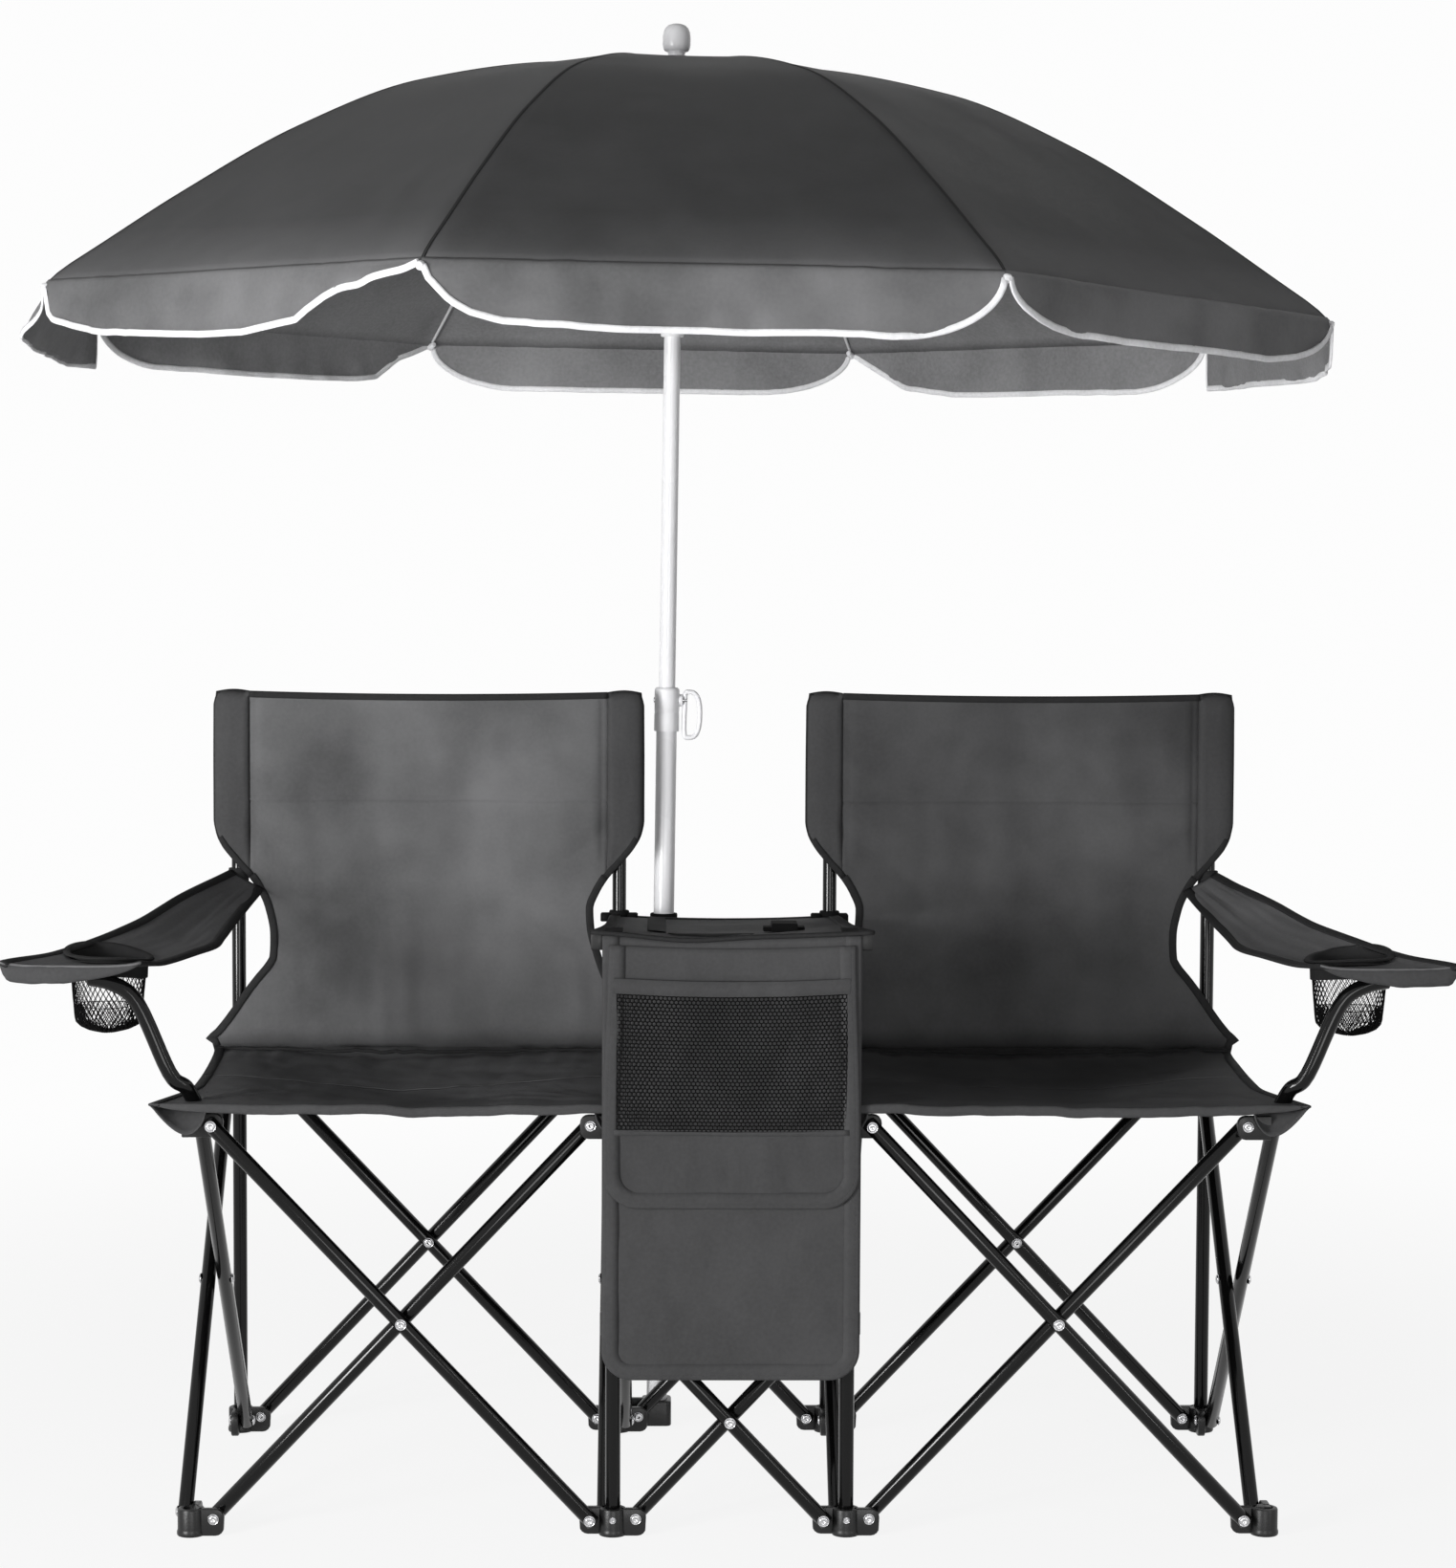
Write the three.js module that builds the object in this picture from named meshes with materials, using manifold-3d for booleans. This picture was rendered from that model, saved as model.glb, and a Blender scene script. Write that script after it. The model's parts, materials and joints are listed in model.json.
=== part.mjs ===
// Double folding camping chair with a cooler table between the seats and an umbrella.
// Millimetres. +X is to the right as seen from the front, +Y is to the rear and +Z is up.
import * as THREE from 'three';
import { mergeVertices } from 'three/addons/utils/BufferGeometryUtils.js';
import Module from 'manifold-3d';

const wasm = await Module();
wasm.setup();

// Folding frame
const tubeDiameter = 16;
const tubeWall = 1.4;
const tubeEnd = 7;
const scissorSpan = 392;
const scissorRise = 414;
const middleSpan = 196;
const pinOffset = 24;
const pinHeight = 18;
const crossingGap = 2;
const slideFit = 0.6;
const seatFit = 0.3;

// Rivets
const rivetDiameter = 6;
const rivetProud = 2;
const rivetFit = 0.3;

// Plastic feet and brackets
const hubDiameter = 28;
const footHeight = 33;
const footFloor = 4;
const lobeEnd = 11;
const lobeThickness = 9;
const bracketBelow = 14;
const bracketAbove = 11;

// Upright poles and legs
const backHeight = 862;
const tableHeight = 638;
const tableDrop = 33;

// Arm support tubes, as offsets from the front upper pin
const armKneeOut = 24;
const armKneeRise = 48;
const armShoulderOut = 66;
const armShoulderRise = 134;
const armEndOut = 112;
const armEndRise = 153;
const armForward = 30;
const armTurns = [0, 14, 27, 36.5];
const loopThickness = 3;
const loopHeight = 24;
const armBend = 5;
const armClearance = 1;
const kneeShare = 0.8;
const armBendShare = 0.5;

// Seat slings
const clothThickness = 2;
const slingFit = 0.5;
const sleeveReach = 27;
const backSag = 22;
const seatSag = 16;
const waistPull = 66;
const sleeveDrop = 157;
const waistHeight = 570;
const seatOverhang = 20;
const seatLift = 17;
const earReach = 12;
const hipReach = 9;
const seatPull = 8;
const sleeveTop = 2;
const bindingWidth = 10;
const creaseRadius = 30;
const waistShares = [[0.27, 0.39], [0.46, 0.7], [0.9, 1]];
const hipShares = [[0.1, 1], [0.33, 0.7], [0.61, 0.39]];
const creaseShare = 0.4;

// Armrests
const armRearHeight = 646;
const armFrontHeight = 599;
const armFrontWidth = 145;
const armOutreach = 118;
const armTilt = 25;
const armThickness = 6;
const armOverhang = 26;
const mouthMargin = 14;
const cupDiameter = 82;
const cupDepth = 64;
const cupTaper = 8;
const cupWall = 2.5;
const cupSetback = 74;
const cupOffset = 9;

// Table and cooler
const tableMargin = 11;
const tableEar = 13;
const tableEdgeShare = 0.5;
const legClearance = 1.8;
const tableSag = 9;
const tableThickness = 3;
const panelWidth = 265;
const panelBottom = 165;
const panelCorner = 30;
const panelThickness = 3;
const coolerWidth = 160;
const coolerDepth = 236;
const coolerWall = 5;
const coolerDrop = 48;
const coolerNeckBottom = 262;
const flapBottom = 350;
const flapCorner = 36;
const flapThickness = 3;
const flapGap = 0.4;
const netTop = 566;
const netBottom = 426;
const netMargin = 14;
const netThickness = 1.4;
const netColumns = 9;
const netRows = 6;
const netBar = 4;
const pocketDepth = 2;
const hemWidth = 8;

// Umbrella
const poleSetback = 36;
const poleFromLeg = 45;
const poleLean = 0.64;
const lowerPoleDiameter = 24;
const upperPoleDiameter = 19;
const poleWall = 1.5;
const lowerPoleTop = 842;
const upperPoleBottom = 480;
const socketDiameter = 35;
const socketHeight = 31;
const socketFloor = 4;
const socketFit = 1;
const socketLinkThickness = 7;
const collarDiameter = 29;
const collarHeight = 48;
const collarOverlap = 24;
const collarLip = 3;
const screwShare = 0.45;
const bossReach = 4;
const knobReach = 20;
const knobDiameter = 7;
const knobDrop = 46;
const knobRise = 12;
const ringBar = 6;
const canopyRadius = 742;
const canopyTop = 1600;
const canopyDrop = 303;
const canopyCurve = 2.4;
const canopyThickness = 2;
const valanceDrop = 74;
const valanceCornerShare = 0.2;
const valanceTipShare = 0.05;
const gores = 8;
const goreTurn = 3.3;
const finialHeight = 32;
const finialDiameter = 32;
const finialNeckShare = 0.9;
const finialBeltShare = 0.25;
const finialShoulderShare = 0.6;
const finialCrownShare = 0.55;
const ribDiameter = 4;
const ribDrop = 2.8;
const ribInset = 5;
const stretcherShare = 0.5;
const runnerDrop = 265;
const runnerLength = 60;
const runnerDiameter = 34;
const hubPlateLength = 22;

// Facets
const tubeSides = 10;
const hubSides = 12;
const pinSides = 6;
const armSides = 8;
const armSteps = 12;
const slingAcross = 8;
const slingAlong = 20;
const padAcross = 5;
const tableAcross = 8;
const tableAlong = 6;
const cupSides = 12;
const goreSteps = 6;
const domeSteps = 4;
const valanceSteps = 2;
const ribSides = 4;
const overrun = 2;
const mergeTolerance = 1e-3;

// Worked out from the sizes above
const runnerHeight = canopyTop - runnerDrop;
const coolerTop = tableHeight - coolerDrop;
const tubeRadius = tubeDiameter / 2;
const tubePlane = tubeRadius + crossingGap / 2;
const lobeFace = tubePlane - tubeRadius - seatFit;
const middleRise = scissorRise * middleSpan / scissorSpan;
const upperPin = pinHeight + scissorRise;
const middlePin = pinHeight + middleRise;
const innerColumn = middleSpan / 2 + pinOffset;
const outerColumn = innerColumn + 2 * pinOffset + scissorSpan;
const columns = [-outerColumn, -innerColumn, innerColumn, outerColumn];
const columnNames = ['outer_left', 'inner_left', 'inner_right', 'outer_right'];
const rearRow = 2 * pinOffset + scissorSpan;
const rows = [0, rearRow];
const rowNames = ['front', 'rear'];
const frontFace = -(tubePlane + tubeRadius + rivetProud);
const gloss = { color: 0x0c0c0d, roughness: 0.18, metalness: 0.6 };
const plastic = { color: 0x141415, roughness: 0.55, metalness: 0 };
const cloth = { color: 0x4c4c4e, roughness: 0.85, metalness: 0 };
const white = { color: 0xe9e9e7, roughness: 0.4, metalness: 0 };

const group = new THREE.Group();

// Turns a closed three.js geometry into a solid with its faces pointing out
function solidOf(geometry) {
  const bare = geometry.clone();
  bare.deleteAttribute('normal');
  bare.deleteAttribute('uv');
  const merged = mergeVertices(bare, mergeTolerance);
  const vertProperties = Float32Array.from(merged.attributes.position.array);
  const corners = Array.from(merged.index.array);
  const kept = [];
  for (let i = 0; i < corners.length; i += 3) {
    const [a, b, c] = corners.slice(i, i + 3);
    if (a !== b && b !== c && c !== a) {
      kept.push(a, b, c);
    }
  }
  const triVerts = Uint32Array.from(kept);
  let volume = 0;
  const corner = [new THREE.Vector3(), new THREE.Vector3(), new THREE.Vector3()];
  for (let i = 0; i < triVerts.length; i += 3) {
    corner.forEach((c, k) => c.fromArray(vertProperties, 3 * triVerts[i + k]));
    volume += corner[0].dot(corner[1].clone().cross(corner[2]));
  }
  if (volume < 0) {
    for (let i = 0; i < triVerts.length; i += 3) {
      [triVerts[i], triVerts[i + 1]] = [triVerts[i + 1], triVerts[i]];
    }
  }
  return new wasm.Manifold(new wasm.Mesh({ numProp: 3, vertProperties, triVerts }));
}

function geometryOf(solid) {
  const mesh = solid.getMesh();
  const geometry = new THREE.BufferGeometry();
  geometry.setAttribute('position', new THREE.BufferAttribute(Float32Array.from(mesh.vertProperties), 3));
  geometry.setIndex(Array.from(mesh.triVerts));
  geometry.computeVertexNormals();
  return geometry;
}

function join(pieces) {
  return pieces.reduce((whole, piece) => whole.add(piece));
}

function addMesh(name, solid, look, place = [0, 0, 0], parent = group) {
  const material = new THREE.MeshStandardMaterial(look);
  const mesh = new THREE.Mesh(geometryOf(solid), material);
  mesh.name = name;
  mesh.position.set(...place);
  parent.add(mesh);
  return mesh;
}

// A cylinder along Z from its lower end, or a tube where it has a bore
function cylinder(radius, height, sides = tubeSides, bore = 0) {
  const profile = [
    new THREE.Vector2(bore, 0),
    new THREE.Vector2(radius, 0),
    new THREE.Vector2(radius, height),
    new THREE.Vector2(bore, height),
  ];
  if (bore > 0) {
    profile.push(profile[0].clone());
  }
  const geometry = new THREE.LatheGeometry(profile, sides);
  geometry.rotateX(Math.PI / 2);
  return geometry;
}

// The corner radius of a bore with flat facets that clears a round bar by the fit
function boreRadius(radius, fit, sides) {
  return (radius + fit) / Math.cos(Math.PI / sides);
}

// A revolved profile of [radius, height] points, along Z
function turned(points, sides) {
  const geometry = new THREE.LatheGeometry(points.map(([r, z]) => new THREE.Vector2(r, z)), sides);
  geometry.rotateX(Math.PI / 2);
  return geometry;
}

function boxBetween(low, high) {
  const size = high.map((value, i) => value - low[i]);
  const geometry = new THREE.BoxGeometry(...size);
  geometry.translate(...low.map((value, i) => value + size[i] / 2));
  return geometry;
}

// A rod, or a tube with a bore, between two points
function rod(start, end, radius, sides = tubeSides, bore = 0) {
  const from = new THREE.Vector3(...start);
  const along = new THREE.Vector3(...end).sub(from);
  const geometry = cylinder(radius, along.length(), sides, bore);
  const turn = new THREE.Quaternion();
  turn.setFromUnitVectors(new THREE.Vector3(0, 0, 1), along.clone().normalize());
  geometry.applyQuaternion(turn);
  geometry.translate(...start);
  return geometry;
}

// A round bar swept along a smooth curve through the points
function swept(points, radius, sides, steps) {
  const circle = [];
  for (let i = 0; i < sides; i += 1) {
    const angle = 2 * Math.PI * i / sides;
    circle.push(new THREE.Vector2(radius * Math.cos(angle), radius * Math.sin(angle)));
  }
  const curve = new THREE.CatmullRomCurve3(points.map((p) => new THREE.Vector3(...p)), false, 'centripetal');
  return new THREE.ExtrudeGeometry(new THREE.Shape(circle), { steps, extrudePath: curve, bevelEnabled: false });
}

// A slab of cloth that follows a surface given by point(u, v), both from 0 to 1
function clothSlab(point, across, along, thickness, closed = false) {
  const columnsAcross = closed ? across : across + 1;
  const positions = [];
  const nudge = 1e-3;
  const at = (u, v) => new THREE.Vector3(...point(u, v));
  const layer = (side) => {
    for (let j = 0; j <= along; j += 1) {
      for (let i = 0; i < columnsAcross; i += 1) {
        const u = i / across;
        const v = j / along;
        const alongU = at(Math.min(u + nudge, 1), v).sub(at(Math.max(u - nudge, 0), v));
        const alongV = at(u, Math.min(v + nudge, 1)).sub(at(u, Math.max(v - nudge, 0)));
        const normal = alongU.cross(alongV).normalize();
        positions.push(...at(u, v).addScaledVector(normal, side * thickness / 2).toArray());
      }
    }
  };
  layer(1);
  layer(-1);
  const layerSize = columnsAcross * (along + 1);
  const id = (i, j, k) => k * layerSize + j * columnsAcross + (i % columnsAcross);
  const index = [];
  const quad = (a, b, c, d) => index.push(a, b, c, a, c, d);
  for (let j = 0; j < along; j += 1) {
    for (let i = 0; i < across; i += 1) {
      quad(id(i, j, 0), id(i + 1, j, 0), id(i + 1, j + 1, 0), id(i, j + 1, 0));
      quad(id(i, j, 1), id(i, j + 1, 1), id(i + 1, j + 1, 1), id(i + 1, j, 1));
    }
    if (!closed) {
      quad(id(0, j, 0), id(0, j + 1, 0), id(0, j + 1, 1), id(0, j, 1));
      quad(id(across, j, 0), id(across, j, 1), id(across, j + 1, 1), id(across, j + 1, 0));
    }
  }
  for (let i = 0; i < across; i += 1) {
    quad(id(i, 0, 0), id(i, 0, 1), id(i + 1, 0, 1), id(i + 1, 0, 0));
    quad(id(i, along, 0), id(i + 1, along, 0), id(i + 1, along, 1), id(i, along, 1));
  }
  const geometry = new THREE.BufferGeometry();
  geometry.setAttribute('position', new THREE.Float32BufferAttribute(positions, 3));
  geometry.setIndex(index);
  return geometry;
}

// A sheet outline in X and Z, with round lower corners, pushed out along Y
function hangingSheet(width, top, bottom, corner, thickness, frontY) {
  const half = width / 2;
  const shape = new THREE.Shape();
  shape.moveTo(-half, top);
  shape.lineTo(-half, bottom + corner);
  shape.absarc(-half + corner, bottom + corner, corner, Math.PI, 1.5 * Math.PI, false);
  shape.absarc(half - corner, bottom + corner, corner, 1.5 * Math.PI, 2 * Math.PI, false);
  shape.lineTo(half, top);
  const geometry = new THREE.ExtrudeGeometry(shape, { depth: thickness, bevelEnabled: false, curveSegments: 5 });
  geometry.rotateX(Math.PI / 2);
  geometry.translate(0, frontY + thickness, 0);
  return geometry;
}

// A rivet along Y through a tube at the given plane and on past the wall beside it
function rivet(x, plane, z, farFace) {
  const out = Math.sign(plane - farFace);
  const near = plane + out * (tubeRadius + rivetProud);
  return solidOf(rod([x, near, z], [x, farFace - out * rivetProud, z], rivetDiameter / 2, pinSides));
}

// One pair of crossing tubes, drawn with its pins along Y and its span along X from x = 0.
// The front tube rises to the left and the rear tube to the right.
function scissorPair(span, height) {
  const length = Math.hypot(span, height);
  const reach = tubeEnd / length;
  const front = { foot: [span, -tubePlane, 0], head: [0, -tubePlane, height] };
  const rear = { foot: [0, tubePlane, 0], head: [span, tubePlane, height] };
  const stretch = ({ foot, head }) => [
    foot.map((value, i) => value - (head[i] - value) * reach),
    head.map((value, i) => value + (value - foot[i]) * reach),
  ];
  const tube = (piece) => solidOf(rod(...stretch(piece), tubeRadius));
  const pins = (piece, farFace) => [piece.foot, piece.head].map(([x, y, z]) => rivet(x, y, z, farFace));
  const crossing = [span / 2, 0, height / 2];
  const hole = rod([crossing[0], 0, crossing[2]], [crossing[0], 2 * tubePlane + overrun, crossing[2]],
    boreRadius(rivetDiameter / 2, rivetFit, pinSides), pinSides);
  const middlePinSolid = rivet(crossing[0], -tubePlane, crossing[2], tubePlane + tubeRadius);
  const backOfLobe = lobeThickness - lobeFace;
  const frontSolid = join([tube(front), ...pins(front, backOfLobe), middlePinSolid]);
  const rearSolid = join([tube(rear), ...pins(rear, -backOfLobe)]).subtract(solidOf(hole));
  return { front: frontSolid, rear: rearSolid };
}

// One lobe of a foot or bracket, out from the hub centre in a number of quarter turns from +X.
// Seen along the lobe, its tube lies on its left where tubeSide is 1, and on its right where it is -1.
function lobe(quarter, tubeSide, low, high, pinLevel) {
  const shape = new THREE.Shape();
  const reach = pinOffset;
  const end = reach + lobeEnd;
  const round = Math.min(lobeEnd, high - pinLevel);
  shape.moveTo(0, low);
  shape.lineTo(end - round / 2, low);
  shape.quadraticCurveTo(end, low, end, pinLevel);
  shape.quadraticCurveTo(end, high, reach, high);
  shape.lineTo(0, high);
  const hole = new THREE.Path();
  hole.absarc(reach, pinLevel, boreRadius(rivetDiameter / 2, rivetFit, pinSides), 0, 2 * Math.PI, false);
  shape.holes.push(hole);
  const geometry = new THREE.ExtrudeGeometry(shape, {
    depth: lobeThickness,
    bevelEnabled: false,
    curveSegments: 3,
  });
  geometry.rotateX(Math.PI / 2);
  geometry.translate(0, lobeFace, 0);
  geometry.scale(1, tubeSide, 1);
  geometry.rotateZ(quarter * Math.PI / 2);
  return solidOf(geometry);
}

// A moulded hub with its lobes: a foot on the floor, a bracket round a pole, or a bare corner.
function hub({ quarters, tubeSide, low, high, pinLevel, bore = 0, floor = 0, core = true }) {
  const pieces = quarters.map((quarter) => lobe(quarter, tubeSide, low, high, pinLevel));
  if (core) {
    const post = cylinder(hubDiameter / 2, high - low, hubSides);
    post.translate(0, 0, low);
    pieces.push(solidOf(post));
  }
  let whole = join(pieces);
  if (core) {
    const opening = cylinder(bore, high - low - floor + overrun, hubSides);
    opening.translate(0, 0, floor > 0 ? low + floor : low - overrun / 2);
    whole = whole.subtract(solidOf(opening));
  }
  return whole;
}

// Feet: one moulding with a lobe to each neighbour and a socket for a pole or leg
function lobesOf(column, row) {
  const quarters = [row === 0 ? 1 : 3];
  if (column < columns.length - 1) {
    quarters.push(0);
  }
  if (column > 0) {
    quarters.push(2);
  }
  return quarters;
}
rows.forEach((y, row) => columns.forEach((x, column) => {
  const foot = hub({
    quarters: lobesOf(column, row),
    tubeSide: 1,
    low: 0,
    high: footHeight,
    pinLevel: pinHeight,
    bore: boreRadius(tubeRadius, seatFit, hubSides),
    floor: footFloor,
  });
  addMesh(`${rowNames[row]}_${columnNames[column]}_foot`, foot, plastic, [x, y, 0]);
}));

// The table cloth's surface, which the table legs end under
const tableFront = frontFace - tableMargin;
const tableRear = rearRow + tubeRadius + loopThickness;
const tableHalf = panelWidth / 2;
function tablePoint(u, v) {
  const side = 2 * u - 1;
  const corner = tableEar * Math.abs(side) * Math.abs(2 * v - 1) ** 2;
  const sag = tableSag * (1 - side * side) * (tableEdgeShare + (1 - tableEdgeShare) * Math.sin(Math.PI * v));
  const z = tableHeight - tableThickness / 2 - tableDrop * v - sag;
  return [side * (tableHalf + corner), THREE.MathUtils.lerp(tableFront, tableRear, v), z];
}
const legOver = tablePoint((innerColumn / tableHalf + 1) / 2, -tableFront / (tableRear - tableFront));
const legTop = legOver[2] - tableThickness / 2 - legClearance;

// Back poles stand in all four rear feet, and table legs in the two inner front feet
function upright(top) {
  const bottom = footFloor + seatFit;
  const geometry = cylinder(tubeRadius, top - bottom, tubeSides, tubeRadius - tubeWall);
  geometry.translate(0, 0, bottom);
  return solidOf(geometry);
}
columns.forEach((x, column) => {
  addMesh(`${columnNames[column]}_back_pole`, upright(backHeight), gloss, [x, rearRow, 0]);
});
[1, 2].forEach((column) => {
  addMesh(`${columnNames[column]}_table_leg`, upright(legTop), gloss, [columns[column], rows[0], 0]);
});

// The arm support is the outer side tube, bent up and out past its upper pin
function armRoute(side, startX) {
  const slope = Math.hypot(scissorSpan, scissorRise);
  const back = [0, tubeEnd * scissorSpan / slope, -tubeEnd * scissorRise / slope];
  const offsets = [
    back,
    back.map((value) => -value),
    [side * armKneeOut * armBendShare, -armForward * kneeShare, armKneeRise * kneeShare],
    [side * armKneeOut, -armForward, armKneeRise],
    [side * armShoulderOut, -armForward, armShoulderRise],
    [side * (armShoulderOut + armEndOut) / 2, -armForward, armEndRise - armBend],
    [side * armEndOut, -armForward, armEndRise],
  ];
  return offsets.map(([x, y, z]) => [startX + x, pinOffset + y, upperPin + z]);
}
const sideOf = (column) => (column === 0 ? -1 : 1);
const armStartOf = (column) => columns[column] + tubePlane;

// Upper brackets slide on the poles and legs. The two outer front corners have neither, and are cut
// clear of the arm support through the turn it makes as the frame folds.
function upperBracket(column, row) {
  const upright = row === 1 || column === 1 || column === 2;
  const acrossSeat = column === 0 || column === 2 ? 0 : 2;
  const bracket = hub({
    quarters: [row === 0 ? 1 : 3, acrossSeat],
    tubeSide: -1,
    low: -bracketBelow,
    high: bracketAbove,
    pinLevel: 0,
    bore: boreRadius(tubeRadius, seatFit, hubSides),
    core: upright,
  });
  if (upright) {
    return bracket;
  }
  const arm = swept(armRoute(sideOf(column), tubePlane), tubeRadius + armClearance, armSides, armSteps);
  arm.translate(0, -pinOffset, -upperPin);
  return armTurns.reduce((whole, degrees) => {
    const space = solidOf(arm).rotate([-degrees, 0, 0]).translate([0, pinOffset, 0]);
    return whole.subtract(space);
  }, bracket);
}
rows.forEach((y, row) => columns.forEach((x, column) => {
  addMesh(`${rowNames[row]}_${columnNames[column]}_bracket`, upperBracket(column, row), plastic, [x, y, upperPin]);
}));

// Sliders on the inner legs and poles carry the upper ends of the short middle tubes
rows.forEach((y, row) => [1, 2].forEach((column) => {
  const slider = hub({
    quarters: [column === 1 ? 0 : 2],
    tubeSide: -1,
    low: -bracketBelow,
    high: bracketAbove,
    pinLevel: 0,
    bore: boreRadius(tubeRadius, seatFit, hubSides),
  });
  addMesh(`${rowNames[row]}_${columnNames[column]}_slider`, slider, plastic, [columns[column], y, middlePin]);
}));

// Three crossing pairs in each row, between neighbouring columns
const seatPair = scissorPair(scissorSpan, scissorRise);
const middlePair = scissorPair(middleSpan, middleRise);
const bays = ['left', 'middle', 'right'];
rows.forEach((y, row) => bays.forEach((bay, column) => {
  const pair = bay === 'middle' ? middlePair : seatPair;
  const place = [columns[column] + pinOffset, y, pinHeight];
  addMesh(`${rowNames[row]}_${bay}_falling_tube`, pair.front, gloss, place);
  addMesh(`${rowNames[row]}_${bay}_rising_tube`, pair.rear, gloss, place);
}));

// One crossing pair from front to rear in each column, turned a quarter from the rows
columns.forEach((x, column) => {
  const outer = column === 0 || column === columns.length - 1;
  const place = new THREE.Group();
  place.position.set(x, pinOffset, pinHeight);
  place.rotation.z = Math.PI / 2;
  group.add(place);
  let forward = seatPair.front;
  if (outer) {
    const arm = swept(armRoute(sideOf(column), tubePlane), tubeRadius, armSides, armSteps);
    arm.translate(0, -pinOffset, -pinHeight);
    arm.rotateZ(-Math.PI / 2);
    forward = forward.add(solidOf(arm));
  }
  const names = [`${columnNames[column]}_side_forward_tube`, `${columnNames[column]}_side_backward_tube`];
  addMesh(names[0], forward, gloss, [0, 0, 0], place);
  addMesh(names[1], seatPair.rear, gloss, [0, 0, 0], place);
});

// Seat slings: one cloth from the top of the back, round the rear of the seat, to its front edge
const backPlane = rearRow - tubeRadius - slingFit - clothThickness / 2;
const seatLevel = upperPin + seatLift;
const backLength = backHeight - seatLevel + sleeveTop;
const seatLength = backPlane + seatOverhang;
const slingHalf = (outerColumn - innerColumn) / 2 + sleeveReach;
const aboveWaist = backHeight + sleeveTop - waistHeight - sleeveDrop;
const belowWaist = backLength - sleeveDrop - aboveWaist;
const slingOutline = new THREE.SplineCurve([
  new THREE.Vector2(0, slingHalf),
  new THREE.Vector2(sleeveDrop / 2, slingHalf),
  new THREE.Vector2(sleeveDrop, slingHalf),
  ...waistShares.map(([along, pull]) => new THREE.Vector2(sleeveDrop + aboveWaist * along,
    slingHalf - waistPull * pull)),
  ...hipShares.map(([along, pull]) => new THREE.Vector2(sleeveDrop + aboveWaist + belowWaist * along,
    slingHalf - waistPull * pull)),
  new THREE.Vector2(backLength, slingHalf + hipReach),
  new THREE.Vector2(backLength + seatLength / 2, slingHalf - seatPull),
  new THREE.Vector2(backLength + seatLength, slingHalf + earReach),
]);
function slingPoint(u, v) {
  const { x: length, y: half } = slingOutline.getPointAt(v);
  const fromCentre = Math.abs(2 * u - 1);
  const edgeShare = 1 - 2 / slingAcross;
  const inner = scissorSpan / 2 + pinOffset - tubeRadius - bindingWidth;
  const edge = Math.min(inner, half - bindingWidth);
  const reach = fromCentre < edgeShare
    ? edge * fromCentre / edgeShare
    : edge + (half - edge) * (fromCentre - edgeShare) / (1 - edgeShare);
  const x = Math.sign(2 * u - 1) * reach;
  const hang = (1 - Math.min(1, reach / inner) ** 2) ** 2;
  const top = backHeight + sleeveTop;
  if (length < backLength - creaseRadius) {
    const share = length / backLength;
    return [x, backPlane + backSag * hang * Math.sin(Math.PI * share), top - length];
  }
  if (length < backLength + creaseRadius) {
    const t = (length - backLength + creaseRadius) / (2 * creaseRadius);
    const sag = seatSag * hang * t * creaseShare;
    const lean = backSag * hang * Math.sin(Math.PI * (1 - creaseRadius / backLength)) * (1 - t);
    return [x, backPlane + lean - creaseRadius * t * t, seatLevel + creaseRadius * (1 - t) ** 2 - sag];
  }
  const share = (length - backLength) / seatLength;
  const sag = seatSag * hang * (creaseShare + (1 - creaseShare) * Math.sin(Math.PI * Math.min(1, share)));
  return [x, backPlane - (length - backLength), seatLevel - sag];
}
['left', 'right'].forEach((bay, k) => {
  const side = 2 * k - 1;
  const centre = side * (outerColumn + innerColumn) / 2;
  let sling = solidOf(clothSlab(slingPoint, slingAcross, slingAlong, clothThickness));
  const arm = swept(armRoute(side, armStartOf(k === 0 ? 0 : columns.length - 1) - centre), tubeRadius + armClearance,
    armSides, armSteps);
  const leg = cylinder(tubeRadius + armClearance, legTop - upperPin);
  leg.translate(side * innerColumn - centre, rows[0], upperPin);
  sling = sling.subtract(solidOf(arm)).subtract(solidOf(leg));
  addMesh(`${bay}_seat_sling`, sling, cloth, [centre, 0, 0]);
});

// Armrests: a cloth strap from a loop on the back pole to the bent end of the arm support,
// widening to the front, where a mesh cup hangs below a round hole. Each row of shares gives the way
// along the strap, then how far it has moved out, widened and fallen, and how far it tips inwards.
const armRear = backPlane - clothThickness;
const armShapeShares = [
  [0, -0.085, 0.262, 0, 0.88],
  [0.283, 0.144, 0.469, 0.415, 1],
  [0.503, 0.267, 0.614, 0.67, 0.84],
  [0.613, 0.339, 0.703, 0.766, 0.8],
  [0.723, 0.483, 0.731, 0.84, 0.68],
  [0.837, 0.682, 0.793, 0.936, 0.48],
  [0.943, 0.903, 0.917, 0.99, 0.2],
  [1, 1, 1, 1, 0],
];
const armRows = armShapeShares.length - 1;
function armPoint(side, u, along) {
  const found = armShapeShares.findIndex(([share]) => share >= along - mergeTolerance);
  const next = Math.max(1, found);
  const [before, after] = [armShapeShares[next - 1], armShapeShares[next]];
  const t = (along - before[0]) / (after[0] - before[0]);
  const [, out, width, fall, tip] = before.map((value, k) => THREE.MathUtils.lerp(value, after[k], t));
  const across = 2 * u - 1;
  const x = outerColumn + armOutreach * out + across * width * armFrontWidth / 2;
  const z = THREE.MathUtils.lerp(armRearHeight, armFrontHeight, fall) + across * tip * armTilt / 2;
  return [side * x, THREE.MathUtils.lerp(armRear, -armOverhang, along), z];
}
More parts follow.
